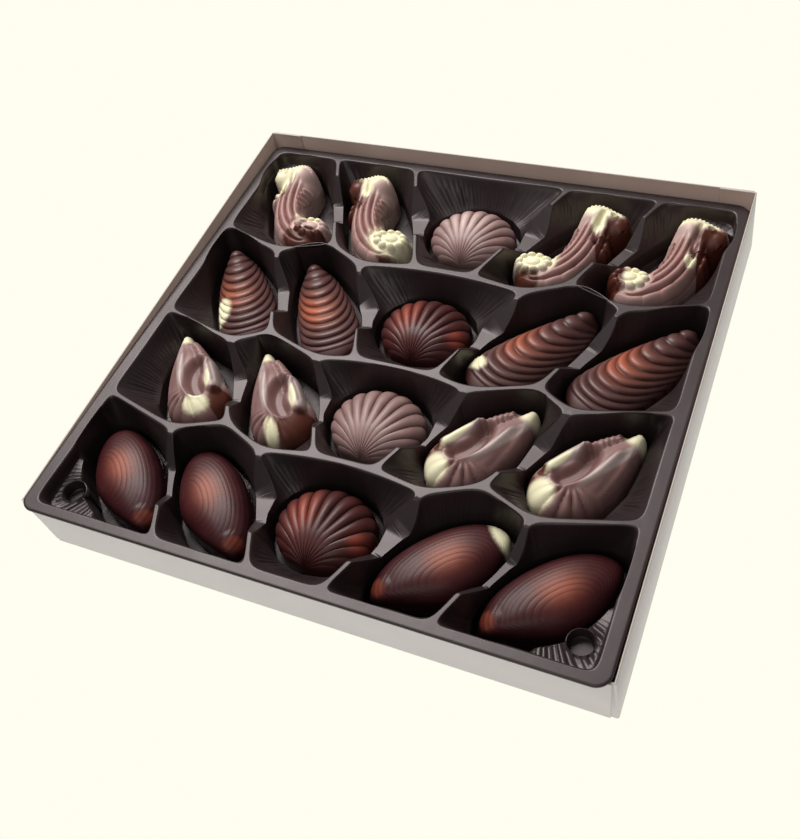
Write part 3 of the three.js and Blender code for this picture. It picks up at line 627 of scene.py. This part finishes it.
def fan_shell():
    """Vertices, faces and groove mask of a ribbed fan that stands on its flat back. The mask paints shade in
    the rib grooves.
    """
    columns = SCALLOP_RIBS * RIB_STEPS
    half_width, half_length = SCALLOP_WIDTH / 2, SCALLOP_LENGTH / 2
    vertices = [(0, -half_length, FOOT_HEIGHT)]
    grooves = [0.0]
    for c in range(columns + 1):
        turn = FAN_TURN * (2 * c / columns - 1)
        ridge = abs(math.sin(math.pi * c / RIB_STEPS)) ** 0.6
        strength = math.cos(turn / 2)
        wave = 1 + 0.025 * strength * (2 * ridge - 1)
        for share in FAN_SHARES:
            x = share * half_width * wave * math.sin(turn)
            y = -half_length + share * (half_length * wave * math.cos(turn) + half_length)
            out = min(1, math.hypot(x / half_width, y / half_length) / wave)
            dome = (1 - out ** 2.6) ** 0.55 if 0 < c < columns and share < 1 else 0
            ribbed = strength * float(eased(*RIBS_BEGIN, math.hypot(x, y + half_length)))
            z = FOOT_HEIGHT + (SCALLOP_HEIGHT - FOOT_HEIGHT) * dome * (1 - RIB_RELIEF * ribbed * (1 - ridge))
            vertices.append((x, y, z))
            grooves.append(ribbed * (1 - ridge))
    count = len(FAN_SHARES)
    faces = []
    for c in range(columns):
        a, b = 1 + c * count, 1 + (c + 1) * count
        faces.append((0, b, a))
        for r in range(count - 1):
            faces.append((a + r, b + r, b + r + 1, a + r + 1))
    edge = [0] + [1 + c * count + count - 1 for c in range(columns + 1)]
    close_foot(vertices, faces, edge, grooves)
    return np.array(vertices), faces, np.array(grooves)


def close_foot(vertices, faces, edge, *masks):
    """Drops the clockwise edge of a relief to the ground with a little draft and closes the flat back."""
    first = len(vertices)
    middle = np.mean([vertices[i][:2] for i in edge], axis=0)
    for i in edge:
        out = np.array(vertices[i][:2]) - middle
        x, y = vertices[i][:2] + out / max(np.linalg.norm(out), 1e-6) * FOOT_DRAFT
        vertices.append((x, y, 0.0))
    for i, a in enumerate(edge):
        j = (i + 1) % len(edge)
        faces.append((a, edge[j], first + j, first + i))
    faces.append(tuple(range(first, first + len(edge))))
    for mask in masks:
        mask.extend([0.0] * len(edge))


fan_vertices, fan_faces, fan_groove_shade = fan_shell()
fan_plan = fan_vertices[:, :2]
LIGHT_FAN = chocolate(
    "light_fan_chocolate", (0.255, 0.155, 0.146), (0.60, 0.44, 0.415), (0.11, 0.045, 0.041))
DARK_FAN = chocolate(
    "dark_fan_chocolate", (0.058, 0.013, 0.012), (0.26, 0.050, 0.030), (0.018, 0.004, 0.004), 0.08, 0.3)
# Painted shade darkens the rib grooves. The tint patches are painted highlights: a pale one on the light
# fans, copper ones on the dark fans. Scallop_3, at the front, gets little of it, as painted fall-off of the
# light.
for k in range(4):
    light = k % 2 == 0
    tint_and_highlight = patches(fan_plan, [(-3, 3, 13, 9)] if light else [(-7, 2, 7, 10), (14, -3, 4, 5)])
    set_praline(
        f"scallop_{k + 1}", fan_vertices, fan_faces,
        {"groove": 0.9 * fan_groove_shade, "tint": eased(0.4, 1, tint_and_highlight) * (0.1 if k == 2 else 1)},
        LIGHT_FAN if light else DARK_FAN)

# Auger-shell pralines, second row: a blunt spire of round whorls that sag on the crown. The dark
# chocolate is dusted with copper along the middle whorls, with a painted highlight in the copper on the
# side the light comes from, and some have a splash of white chocolate. The whorls' grooves are darkened
# as painted shade, and the foot is darker.
TURRET_LENGTH = 55.0
TURRET_WIDTH = 24.5
TURRET_HEIGHT = 14.0
TURRET_WHORLS = 11
SPIRE_START = 0.17
SPIRE_END = 0.98
EDGE_BOW = 8.0
CROWN_SAG = 11.0
ARCH_FULLNESS = 0.85
ARCH_STEPS = 44


def round_end(share, radius):
    """How full a body is at a share of its length away from a round end."""
    inside = np.clip(share / radius, 0, 1)
    return np.sqrt(inside * (2 - inside))


def arched_body(length, shares, halves, crowns, sags, steps):
    """A moulded body along y with a straight foot and an arched back, and its along and across shares."""
    vertices, along, across = [], [], []
    for s, share in enumerate(shares):
        half = max(halves[s] - FOOT_DRAFT, halves[s] / 2)
        y = length * (share - 0.5)
        for j in range(steps + 1):
            turn = math.pi * j / steps
            rise = max(0.0, math.sin(turn)) ** ARCH_FULLNESS if 0 < j < steps else 0.0
            side = math.copysign(abs(math.cos(turn)) ** ARCH_FULLNESS, math.cos(turn))
            vertices.append((-side * half, y - sags[s] * rise, FOOT_HEIGHT + crowns[s] * rise))
            along.append(share)
            across.append(j / steps)
    ring = steps + 1
    faces = []
    for i in range(0, (len(shares) - 1) * ring, ring):
        for j in range(steps):
            faces.append((i + j, i + j + 1, i + j + 1 + ring, i + j + ring))
    last = (len(shares) - 1) * ring
    tail = list(range(0, ring))
    tip = list(range(last, last + ring))
    left_side = [i * ring for i in range(len(shares))]
    right_side = [i * ring + steps for i in range(len(shares))]
    faces.append(tuple(reversed(tail)))
    faces.append(tuple(tip))
    edge = left_side + right_side[::-1]
    close_foot(vertices, faces, edge, along, across)
    return np.array(vertices), faces, np.array(along), np.array(across)


turret_shares = np.concatenate([[0, 0.004, 0.015, 0.035, 0.06, 0.09], np.linspace(0.115, 1, 170)])
turret_way = np.clip((turret_shares - SPIRE_START) / (SPIRE_END - SPIRE_START), 0, 1)
turret_phase = TURRET_WHORLS * turret_way * (0.82 + 0.18 * turret_way) % 1
turret_ridge = np.where(turret_way > 0, np.sin(math.pi * turret_phase ** 0.65) ** 0.8, 0.9)
turret_bow = np.sin(math.pi * turret_shares) ** 0.9
turret_edge = turret_shares + EDGE_BOW / TURRET_LENGTH * turret_bow
turret_back = np.maximum(turret_shares - CROWN_SAG / TURRET_LENGTH * turret_bow, 0)
turret_half = TURRET_WIDTH / 2 * np.maximum(0.12, round_end(turret_edge, 0.35))
turret_half *= np.sqrt(np.maximum(1 - turret_edge ** 2.6, 0.002)) * (1 - 0.035 * (1 - turret_ridge))
turret_rise = (TURRET_HEIGHT - FOOT_HEIGHT) * np.maximum(0.12, round_end(turret_back + 0.06, 0.35))
turret_rise *= np.sqrt(np.maximum(1 - turret_back ** 18, 0.01)) * (1 - 0.15 * turret_back ** 3)
turret_rise *= 1 - 0.13 * (1 - turret_ridge)
turret_vertices, turret_faces, turret_along, turret_across = arched_body(
    TURRET_LENGTH, turret_edge, turret_half, turret_rise,
    (EDGE_BOW + CROWN_SAG) * turret_bow, ARCH_STEPS)
turret_plan = turret_vertices[:, :2]
turret_along = np.interp(turret_along, turret_edge, turret_shares)
turret_groove_shade = np.interp(turret_along, turret_shares, 1 - turret_ridge)
COPPER = chocolate(
    "copper_chocolate", (0.084, 0.036, 0.034), (0.46, 0.11, 0.046), (0.046, 0.010, 0.008), 0.1)
# Darker towards the foot.
turret_foot = eased(0.24, 0.06, turret_along)
turret_marks = {
    1: {"copper_and_sheen": 0.55, "cream": [(-9.5, -8, 4.5, 6.5)]},
    2: {"copper_and_sheen": 0.8, "cream": []},
    3: {"copper_and_sheen": 0.6, "cream": [(8, -19.5, 5, 3.2)]},
    4: {"copper_and_sheen": 0.7, "cream": []},
}
# The copper spot lies towards the side the light comes from on both hands: copper dust with a painted
# highlight.
for number, marks in turret_marks.items():
    towards = 0.36 if number < 3 else 0.62
    tint_and_highlight = np.exp(-((turret_along - 0.6) / 0.13) ** 2 - ((turret_across - towards) / 0.27) ** 2)
    set_praline(
        f"turret_{number}", turret_vertices, turret_faces,
        {"tint": marks["copper_and_sheen"] * tint_and_highlight, "groove": np.clip(0.95 * turret_groove_shade + 0.75 * turret_foot, 0, 1),
         "cream": patches(turret_plan, marks["cream"])},
        COPPER)

# Conch-shell pralines, third row: a pleated body that runs out in a spire, with a ribbed fold and a
# rolled lip round a hollow mouth. Milk chocolate marbled with white at the tip and lip; the dark at the
# foot is painted shade, as is the darkening in the mouth and between the pleats.
CONCH_REACH = 30.0


def set_marbled(kind, spots, vertices, faces, masks, material):
    """Sets the four pralines of a kind, each with its own spots of white and dark chocolate."""
    for number, marks in spots.items():
        marbling = {mask: patches(vertices[:, :2], marks[mask]) for mask in marks}
        set_praline(f"{kind}_{number}", vertices, faces, masks | marbling, material)


def smooth_line(points, count=90):
    """Points along a smooth line through a few given ones."""
    given = np.array(points, float)
    steps = np.concatenate([[0], np.cumsum(np.linalg.norm(np.diff(given, axis=0), axis=1))])
    places = np.linspace(0, steps[-1], count)
    degree = len(given) - 1
    return np.column_stack([np.polyval(np.polyfit(steps, given[:, i], degree), places) for i in (0, 1)])


def beside(plan, line):
    """For each point: its share along a line, and its distance from it, positive on the line's left."""
    share = np.empty(len(plan))
    away = np.empty(len(plan))
    heading = np.gradient(line, axis=0)
    for first in range(0, len(plan), 8000):
        part = plan[first:first + 8000]
        gap = part[:, None, :] - line[None, :, :]
        distance = np.hypot(gap[..., 0], gap[..., 1])
        nearest = distance.argmin(1)
        rows = np.arange(len(part))
        near_gap = gap[rows, nearest]
        side = heading[nearest, 0] * near_gap[:, 1] - heading[nearest, 1] * near_gap[:, 0]
        share[first:first + 8000] = nearest / (len(line) - 1)
        away[first:first + 8000] = np.where(side < 0, -1, 1) * distance[rows, nearest]
    return share, away


def lobe(plan, line, half_width, rise):
    """Height of a rounded lobe along a line, below nought outside it. Width and rise follow the share."""
    share, away = beside(plan, line)
    out = np.abs(away) / half_width(share)
    return np.where(out < 1, rise(share) * np.sqrt(np.maximum(1 - out ** 2.2, 0)), 1 - out)


def fused(*lobes):
    """The lobes run together, with a soft crease where they meet."""
    inside = np.stack([np.maximum(part, 0) for part in lobes])
    whole = (inside ** 7).sum(0) ** (1 / 7)
    return np.where(whole > 0, whole, np.max(np.stack(lobes), axis=0))


def ridge_line(plan, points, half_width, rise):
    """A raised or sunk seam along a line, fading out at its ends."""
    share, away = beside(plan, smooth_line(points))
    fade = eased(0, 0.15, share) * eased(1, 0.85, share)
    return rise * fade * np.exp(-(away / half_width) ** 2)


def bead(plan, x, y, radius, rise):
    """A small round bump."""
    out = np.hypot(plan[:, 0] - x, plan[:, 1] - y) / radius
    return rise * np.sqrt(np.maximum(1 - out ** 2, 0))


def relief_body(height, middle, reach, spokes=240, steps=56, crowding=1.7):
    """A body whose relief over its flat foot is a height over the plan, set out round a middle point."""
    turns = np.linspace(0, 2 * math.pi, spokes, endpoint=False)
    directions = np.column_stack([np.cos(turns), np.sin(turns)])
    probes = np.linspace(0.5, reach, 170)
    plan = middle + (directions[:, None, :] * probes[None, :, None]).reshape(-1, 2)
    outside = height(plan).reshape(spokes, -1) <= 0
    edge = probes[outside.argmax(1)]
    edge = (np.roll(edge, 1) + 2 * edge + np.roll(edge, -1)) / 4
    shares = 1 - (1 - np.linspace(0, 1, steps + 1)[1:]) ** crowding
    plan = middle + (directions[:, None, :] * (edge[:, None] * shares)[..., None]).reshape(-1, 2)
    rise = np.maximum(height(plan), 0).reshape(spokes, steps)
    rise[:, -1] = 0
    centre_rise = float(height(np.array([middle]))[0])
    vertices = [(*middle, FOOT_HEIGHT + centre_rise)]
    vertices += [(x, y, FOOT_HEIGHT + z) for (x, y), z in zip(plan, rise.ravel())]
    faces = []
    for s in range(spokes):
        a, b = 1 + s * steps, 1 + (s + 1) % spokes * steps
        faces.append((0, a, b))
        for r in range(steps - 1):
            faces.append((a + r, a + r + 1, b + r + 1, b + r))
    edge_ring = [1 + s * steps + steps - 1 for s in range(spokes)]
    close_foot(vertices, faces, edge_ring[::-1])
    return np.array(vertices), faces


conch_spire = smooth_line([(-0.6, -9.4), (-2.8, 4), (-3.0, 20.2)])
conch_fold = smooth_line([(3.6, 3.5), (2.6, 9), (0.6, 15.0)])
conch_lip = smooth_line([(6.2, -9.0), (5.7, -2), (4.6, 4.4)])
conch_mouth = smooth_line([(1.4, 4.4), (-0.8, -2.5), (0.4, -8.8)])
PLEAT_TURNS = 6.5
MOUTH_DEPTH = 3.4


def conch_pleats(plan):
    """Pleats round the outer side of the base, one at the crests and nought between them."""
    turn = np.arctan2(plan[:, 1] + 8.0, plan[:, 0] + 3.0)
    away = np.hypot(plan[:, 1] + 8.0, plan[:, 0] + 3.0)
    below = eased(0.4, 0.0, np.sin(turn)) * eased(0.7, 0.3, np.cos(turn))
    return np.abs(np.sin(PLEAT_TURNS * turn)) ** 0.8, below * eased(2.0, 5.0, away)


def conch_hollow(plan):
    """The hollow mouth: one in its bed, nought outside."""
    _, away = beside(plan, conch_mouth)
    return eased(4.2, 0.9, np.abs(away))


def conch_height(plan):
    """Relief of the conch over its foot."""
    spire = lobe(plan, conch_spire, lambda s: 2.6 + 9.2 * (1 - s ** 1.4), lambda s: 9.4 * (1 - 0.25 * s ** 2))
    fold = lobe(plan, conch_fold, lambda s: 3.6 - 1.4 * s, lambda s: 9.2 - 0.8 * s)
    lip = lobe(plan, conch_lip, lambda s: 3.1, lambda s: 10.2)
    whole = fused(spire, fold, lip)
    inside = eased(0, 2.5, whole)
    seam = ridge_line(plan, [(-3.4, 15), (-5.2, 4), (-5.2, -4), (-2.4, -10.4), (3.6, -11.2)], 1.2, 1.0)
    furrow = ridge_line(plan, [(5.4, 4.4), (6.7, -2), (7.2, -8)], 0.55, -0.6)
    stripe = ridge_line(plan, [(-4.6, 15), (-8.2, 4), (-10.2, -6)], 1.0, -0.4)
    fold_share, fold_away = beside(plan, conch_fold)
    frills = 0.24 * np.cos(2 * math.pi * (6 * fold_share + 0.12 * fold_away))
    frills *= eased(3.2, 1.6, np.abs(fold_away))
    crests, below = conch_pleats(plan)
    detail = seam + furrow + stripe + frills + 1.1 * (crests - 0.6) * below
    detail -= MOUTH_DEPTH * conch_hollow(plan)
    return np.where(whole > 0, whole + inside * detail, whole)


conch_vertices, conch_faces = relief_body(conch_height, np.array((0.5, -4.0)), CONCH_REACH)
conch_plan = conch_vertices[:, :2]
# Painted shade: the mouth and the gaps between the pleats take the groove colour.
conch_hollow_shade = 0.6 * conch_hollow(conch_plan)
pleat_crests, pleat_share = conch_pleats(conch_plan)
conch_hollow_shade = np.maximum(conch_hollow_shade, 0.7 * (1 - pleat_crests) * pleat_share)
# A paler lip, and a painted highlight along the crest of the seam on the spire.
conch_pale_and_highlight = eased(0.3, 0.65, patches(conch_plan, [(6.6, -2, 3.2, 7.0), (-5.4, 6, 1.4, 12)]))
CREAM_MARBLE = chocolate(
    "cream_marble_chocolate", (0.235, 0.130, 0.122), (0.44, 0.345, 0.325), (0.105, 0.038, 0.032))
# The cocoa spots low on the lip side are painted shade at the foot; the cream spots are white chocolate.
conch_marks = {
    1: {"cream": [(-3.0, 21.5, 4.2, 4.5), (4.8, -5, 1.2, 4.0), (-0.4, -14.6, 4.6, 3.6)],
        "cocoa": [(9.0, -14.5, 4.8, 5.8)]},
    2: {"cream": [(-3.0, 21.5, 4.2, 4.5), (4.8, -4, 1.4, 5.0), (-4.4, -16.0, 2.4, 5.0)],
        "cocoa": [(5.8, -17.0, 8.6, 6.8)]},
    3: {"cream": [(-3.2, 21, 4.0, 5), (5.6, -4.5, 1.5, 6.5), (2.0, -17.0, 5.2, 4.4)],
        "cocoa": [(6.6, -11.4, 2.4, 1.6), (9.5, -19.5, 5, 6)]},
    4: {"cream": [(-3.2, 21, 4.0, 5), (5.6, -5.5, 1.4, 5.5), (2.0, -17.0, 5.2, 4.4)],
        "cocoa": [(6.6, -11.4, 2.4, 1.6), (9.5, -19.5, 5, 6)]},
}
set_marbled(
    "conch", conch_marks, conch_vertices, conch_faces, {"groove": conch_hollow_shade, "tint": conch_pale_and_highlight},
    CREAM_MARBLE)

# Mussel pralines, front row: a smooth oval with fine growth lines that spread from its outer side.
# Dark chocolate with a copper glow on the nub and on the crown, where it is partly a painted sheen; the
# growth lines and the edge are darkened as painted shade; one has a white edge at its tip.
MUSSEL_LENGTH = 47.5
MUSSEL_WIDTH = 23.5
MUSSEL_HEIGHT = 13.6
MUSSEL_SHIFT = 0.13 * MUSSEL_WIDTH
MUSSEL_SHOULDER = np.array((-13.4, 2.2))
GROWTH_LINES = 14
COPPER_SHEEN_MIDDLE = (-3.0, 2.5)
COPPER_SHEEN_SPREAD = (4.6, 6.8)
WHITE_EDGE = (-4, 22.5, 7.5, 4.0)
MUSSEL_REACH = 40.0


def mussel_oval(plan):
    """Shares of the way from the mussel's middle to its edge, across and along. The sides differ."""
    along = np.minimum(np.abs(plan[:, 1]) / (MUSSEL_LENGTH / 2), 1)
    inner = np.maximum(1 - along ** 2.15, 1e-6) ** 0.52
    behind = np.maximum(1 - along ** 1.9, 1e-6) ** 0.62
    before = np.maximum(1 - along ** 1.35, 1e-6) ** 0.88
    outer = np.where(plan[:, 1] > 0, behind, before)
    half = MUSSEL_WIDTH / 2 * np.where(plan[:, 0] > -MUSSEL_SHIFT, inner, outer)
    return np.abs(plan[:, 0] + MUSSEL_SHIFT) / half, along


def mussel_lines(plan):
    """Share of the way from the shoulder to the edge, and the grooves of the growth lines on that way."""
    out = plan - MUSSEL_SHOULDER
    reach = np.linalg.norm(out, axis=1)
    heading = out / np.maximum(reach, 1e-6)[:, None]
    low, high = np.zeros(len(plan)), np.full(len(plan), 60.0)
    for _ in range(22):
        middle = (low + high) / 2
        across, along = mussel_oval(MUSSEL_SHOULDER + heading * middle[:, None])
        inside = (across < 1) & (along < 1)
        low, high = np.where(inside, middle, low), np.where(inside, high, middle)
    share = np.minimum(reach / low, 1)
    count = GROWTH_LINES * share ** 1.25 + 0.25 * np.sin(7 * share)
    groove = 1 - np.abs(np.sin(math.pi * count)) ** 0.5
    return share, groove * eased(0.22, 0.4, share) * eased(1, 0.97, share)


def mussel_height(plan):
    """Relief of the mussel over its foot."""
    across, along = mussel_oval(plan)
    crown = np.sqrt(np.maximum(1 - along ** 2.4, 0)) * np.maximum(1 - across ** 2.35, 0) ** 0.4255
    _, groove = mussel_lines(plan)
    relief = (MUSSEL_HEIGHT - FOOT_HEIGHT) * crown - 0.07 * groove * eased(0, 0.3, crown)
    relief += bead(plan, -1.2, -19.5, 3.6, 0.6)
    return np.where((across < 1) & (along < 1), np.maximum(relief, 1e-4), -1.0)


mussel_vertices, mussel_faces = relief_body(
    mussel_height, MUSSEL_SHOULDER, MUSSEL_REACH, spokes=170, steps=150, crowding=1.12)
mussel_plan = mussel_vertices[:, :2]
# Painted shade darkens the growth-line grooves, and the edge where the mussel turns down into the pocket.
mussel_share, mussel_line_shade = mussel_lines(mussel_plan)
mussel_edge_shade = eased(0.86, 1.0, mussel_share)
# The copper glow on the crown is copper lustre with a painted sheen.
mussel_copper_and_sheen = np.exp(-(((mussel_plan - COPPER_SHEEN_MIDDLE) / COPPER_SHEEN_SPREAD) ** 2).sum(1))
mussel_nub = eased(0.45, 0.75, patches(mussel_plan, [(-0.8, -20.2, 4.4, 2.8)]))
MAROON = chocolate(
    "maroon_chocolate", (0.044, 0.007, 0.009), (0.44, 0.10, 0.042), (0.010, 0.002, 0.003), 0.08, 0.22)
mussel_marks = {1: {}, 2: {}, 3: {"cream": [WHITE_EDGE]}, 4: {}}
set_marbled(
    "mussel", mussel_marks, mussel_vertices, mussel_faces,
    {"tint": np.clip(0.62 * mussel_copper_and_sheen + 0.25 * mussel_nub, 0, 1),
     "groove": np.clip(0.6 * mussel_line_shade + 0.7 * mussel_edge_shade * (1 - mussel_nub), 0, 1)},
    MAROON)

# Seahorse pralines, back row: a plump body with flowing ridges, a crest of beads over the head, a small
# fin, and the tail rolled into a beaded rosette. Milk chocolate marbled with white and dark; the grooves
# between the ridges and the throat are darkened as painted shade.
SEAHORSE_REACH = 40.0
ROSETTE = np.array((10.8, -13.0))
ROSETTE_HALVES = np.array((8.0, 6.4))
ROSETTE_BEADS = 10

seahorse_spine = smooth_line([(-6.8, 13.0), (-6.4, 8.0), (-5.4, 0), (-1.8, -9.2), (8.2, -16.2)])
seahorse_head = smooth_line([(-5.5, 13.6), (-10, 14.0), (-14.6, 12.6)])
crest_line = smooth_line([(-18.2, 14.8), (-13.8, 17.9), (-7.3, 19.1), (-1.0, 16.6)], 13)
throat_line = [(-9.6, 17.0), (-8.6, 12.0), (-8.0, 6), (-9.6, -1)]
FIN_RIBS = [(0.2, 6.6), (0.1, 4.2), (0.3, 1.8), (0.8, -0.6), (1.8, -2.8)]
BODY_RIDGES = 2.7


def rosette_share(plan):
    """Share of the way from the middle of the rosette to its edge."""
    return np.linalg.norm((plan - ROSETTE) / ROSETTE_HALVES, axis=1)


def seahorse_ridges(plan):
    """Flowing ridges along the body, one on the crests and nought between, and where they are."""
    share, away = beside(plan, seahorse_spine)
    across = away / (6.5 + 3.0 * share)
    crests = np.abs(np.sin(math.pi * (across * BODY_RIDGES + 0.2))) ** 0.7
    clear = eased(1.02, 1.2, rosette_share(plan))
    return crests, eased(0.06, 0.2, share) * eased(1.0, 0.75, np.abs(across + 0.3)) * clear


def seahorse_height(plan):
    """Relief of the seahorse over its foot."""
    share, away = beside(plan, seahorse_spine)
    body = lobe(
        plan, seahorse_spine, lambda s: 8.2 - 1.1 * np.sin(math.pi * s) ** 2, lambda s: 12.2 - 4.4 * s)
    head = lobe(plan, seahorse_head, lambda s: 6.4 - 0.7 * s, lambda s: 12.4 - 1.6 * s)
    knob = lobe(plan, np.array([(-12.2, 2.0), (-11.6, -1)]), lambda s: 2.8, lambda s: 7.4)
    away_rosette = rosette_share(plan)
    dome = 8.0 * np.maximum(1 - away_rosette ** 5, 0) ** 0.5
    rosette = np.where(away_rosette < 1, dome, 1 - away_rosette)
    whole = fused(body, head, knob, rosette)
    inside = eased(0, 2.5, whole)
    crests, here = seahorse_ridges(plan)
    ridges = 1.5 * (crests - 0.5) * here
    across = away / 8.2
    creases = 0.6 * (np.abs(np.sin(math.pi * share * 7.5)) ** 0.7 - 0.6)
    creases *= eased(0.55, 0.7, share) * eased(-0.35, -0.65, across) * eased(1.0, 1.25, away_rosette)
    throat = ridge_line(plan, throat_line, 1.0, -2.0)
    eye = bead(plan, -12.6, 14.2, 1.9, 0.7) - bead(plan, -12.6, 14.2, 1.0, 1.5)
    fin = sum(ridge_line(plan, [(x - 1.6, y - 1.4), (x, y), (x + 1.6, y + 1.0)], 0.75, 1.7)
              for x, y in FIN_RIBS)
    crest = sum(bead(plan, x, y, 1.5, 1.2) for x, y in crest_line)
    turns = np.arange(ROSETTE_BEADS) * 2 * math.pi / ROSETTE_BEADS
    disc = (plan - ROSETTE) / ROSETTE_HALVES * ROSETTE_HALVES[0]
    beads = sum(bead(disc, 5.7 * math.cos(t), 5.7 * math.sin(t), 1.8, 1.5) for t in turns)
    boss = bead(disc, 0, 0, 2.9, 1.2)
    detail = ridges + creases + throat + eye + fin + crest + beads + boss
    return np.where(whole > 0, whole + inside * detail, whole)


seahorse_vertices, seahorse_faces = relief_body(
    seahorse_height, np.array((1.2, -7.2)), SEAHORSE_REACH, spokes=420, steps=90, crowding=1.4)
seahorse_plan = seahorse_vertices[:, :2]
spine_share, spine_away = beside(seahorse_plan, seahorse_spine)
ridge_crests, ridge_place = seahorse_ridges(seahorse_plan)
# Painted shade: the grooves between the ridges and the crease of the throat take the groove colour.
seahorse_groove_shade = (1 - ridge_crests) * ridge_place
throat_shade = ridge_line(seahorse_plan, throat_line, 1.3, 0.8)
pale = np.maximum(eased(0.35, 0.05, spine_share), eased(4, 8, np.abs(spine_away)))
pale = np.maximum(pale, eased(1.1, 0.9, rosette_share(seahorse_plan)))
PINK_MARBLE = chocolate(
    "pink_marble_chocolate", (0.345, 0.182, 0.165), (0.53, 0.38, 0.348), (0.14, 0.048, 0.043))
seahorse_marks = {
    1: {"cream": [(-13, 15, 8, 7), (-11.5, 6.5, 2.6, 6), (8.5, -8.6, 6.5, 2.4)],
        "cocoa": [(-14, 1.5, 2.0, 3.4), (11.5, -19.5, 11, 5.4)]},
    2: {"cream": [(-8.5, 18.5, 6.5, 6.5), (-9, 11, 3.0, 4.5), (10.8, -13, 9.2, 7.4), (4.6, -4, 2.2, 4)],
        "cocoa": [(-17.6, 12, 5.8, 7.5), (-13, 0, 3.2, 9), (16.5, -21, 9, 4)]},
    3: {"cream": [(-6.5, 18, 9, 6.5), (-8.2, 9.5, 2.6, 4.5), (10.5, -11.5, 8.6, 6.0)],
        "cocoa": [(-16, 8.5, 5.6, 7.5), (-13, 0, 3.4, 6), (13, -21, 7, 5)]},
    4: {"cream": [(-6, 20, 11, 6.5), (-8.4, -1.5, 2.0, 3.0), (8.4, -12, 4.4, 6)],
        "cocoa": [(-14.5, 9, 5.4, 7), (-13, 1, 3.0, 6), (17.5, -14.5, 6.4, 7.5)]},
}
set_marbled(
    "seahorse", seahorse_marks, seahorse_vertices, seahorse_faces,
    {"groove": np.clip(0.7 * seahorse_groove_shade + throat_shade, 0, 1), "tint": 0.8 * pale},
    PINK_MARBLE)

# The stand: a plain pale floor, a soft light above and behind with a weaker one in front, and a camera
# that looks down over the right front corner, turned a little in its hand.
FLOOR_SIZE = 30.0
FLOOR_DROP = 0.2 * MM
floor_mesh = bpy.data.meshes.new("floor")
half_floor = FLOOR_SIZE / 2
floor_mesh.from_pydata(
    [(-half_floor, -half_floor, 0), (half_floor, -half_floor, 0), (half_floor, half_floor, 0),
     (-half_floor, half_floor, 0)], [], [(0, 1, 2, 3)])
floor_material, *_ = new_material("pale_floor", {
    "Base Color": (0.0, 0.0, 0.0, 1), "Roughness": 1.0, "Specular IOR Level": 0.0,
    "Emission Color": (1.0, 0.99, 0.872, 1), "Emission Strength": 1.0})
floor_mesh.materials.append(floor_material)
floor = bpy.data.objects.new("floor", floor_mesh)
floor.location.z = -FLOOR_DROP
bpy.context.scene.collection.objects.link(floor)


def soft_light(name, place, target, size, power, colour):
    """A square soft box that faces a target."""
    light = bpy.data.lights.new(name, "AREA")
    light.shape = "SQUARE"
    light.size = size
    light.energy = power
    light.color = colour
    lamp = bpy.data.objects.new(name, light)
    lamp.location = place
    lamp.rotation_euler = (Vector(target) - Vector(place)).to_track_quat("-Z", "Y").to_euler()
    bpy.context.scene.collection.objects.link(lamp)


soft_light("overhead_box", (-0.36, 0.40, 0.72), (0, 0, 0), 0.55, 11.6, (1.0, 0.98, 0.95))
soft_light("front_box", (0.05, -0.60, 0.70), (0, 0, 0), 0.6, 1.7, (1.0, 0.98, 0.96))
world = bpy.data.worlds.new("studio")
world.use_nodes = True
world.node_tree.nodes["Background"].inputs["Color"].default_value = (1.0, 0.98, 0.95, 1)
world.node_tree.nodes["Background"].inputs["Strength"].default_value = 0.12
bpy.context.scene.world = world
bpy.context.scene.view_settings.view_transform = "Standard"

VIEW_TURN = math.radians(34.116)
VIEW_RISE = math.radians(50.927)
VIEW_ROLL = math.radians(-14.71)
VIEW_DISTANCE = 321.68
VIEW_TARGET = Vector((11.57, -28.88, 0))
LENS = 41.86
back = Vector((math.sin(VIEW_TURN) * math.cos(VIEW_RISE), -math.cos(VIEW_TURN) * math.cos(VIEW_RISE),
               math.sin(VIEW_RISE)))
level = Vector((0, 0, 1)).cross(back).normalized()
upward = back.cross(level)
right = math.cos(VIEW_ROLL) * level + math.sin(VIEW_ROLL) * upward
top = -math.sin(VIEW_ROLL) * level + math.cos(VIEW_ROLL) * upward
camera_turn = Matrix((right, top, back)).transposed().to_4x4()
camera_data = bpy.data.cameras.new("camera")
camera_data.lens = LENS
camera_data.clip_start = 0.01
camera = bpy.data.objects.new("camera", camera_data)
camera.matrix_world = (tray_frame @ Matrix.Translation(VIEW_TARGET + back * VIEW_DISTANCE)
                       @ Matrix.Scale(1 / MM, 4) @ camera_turn)
bpy.context.scene.collection.objects.link(camera)
bpy.context.scene.camera = camera
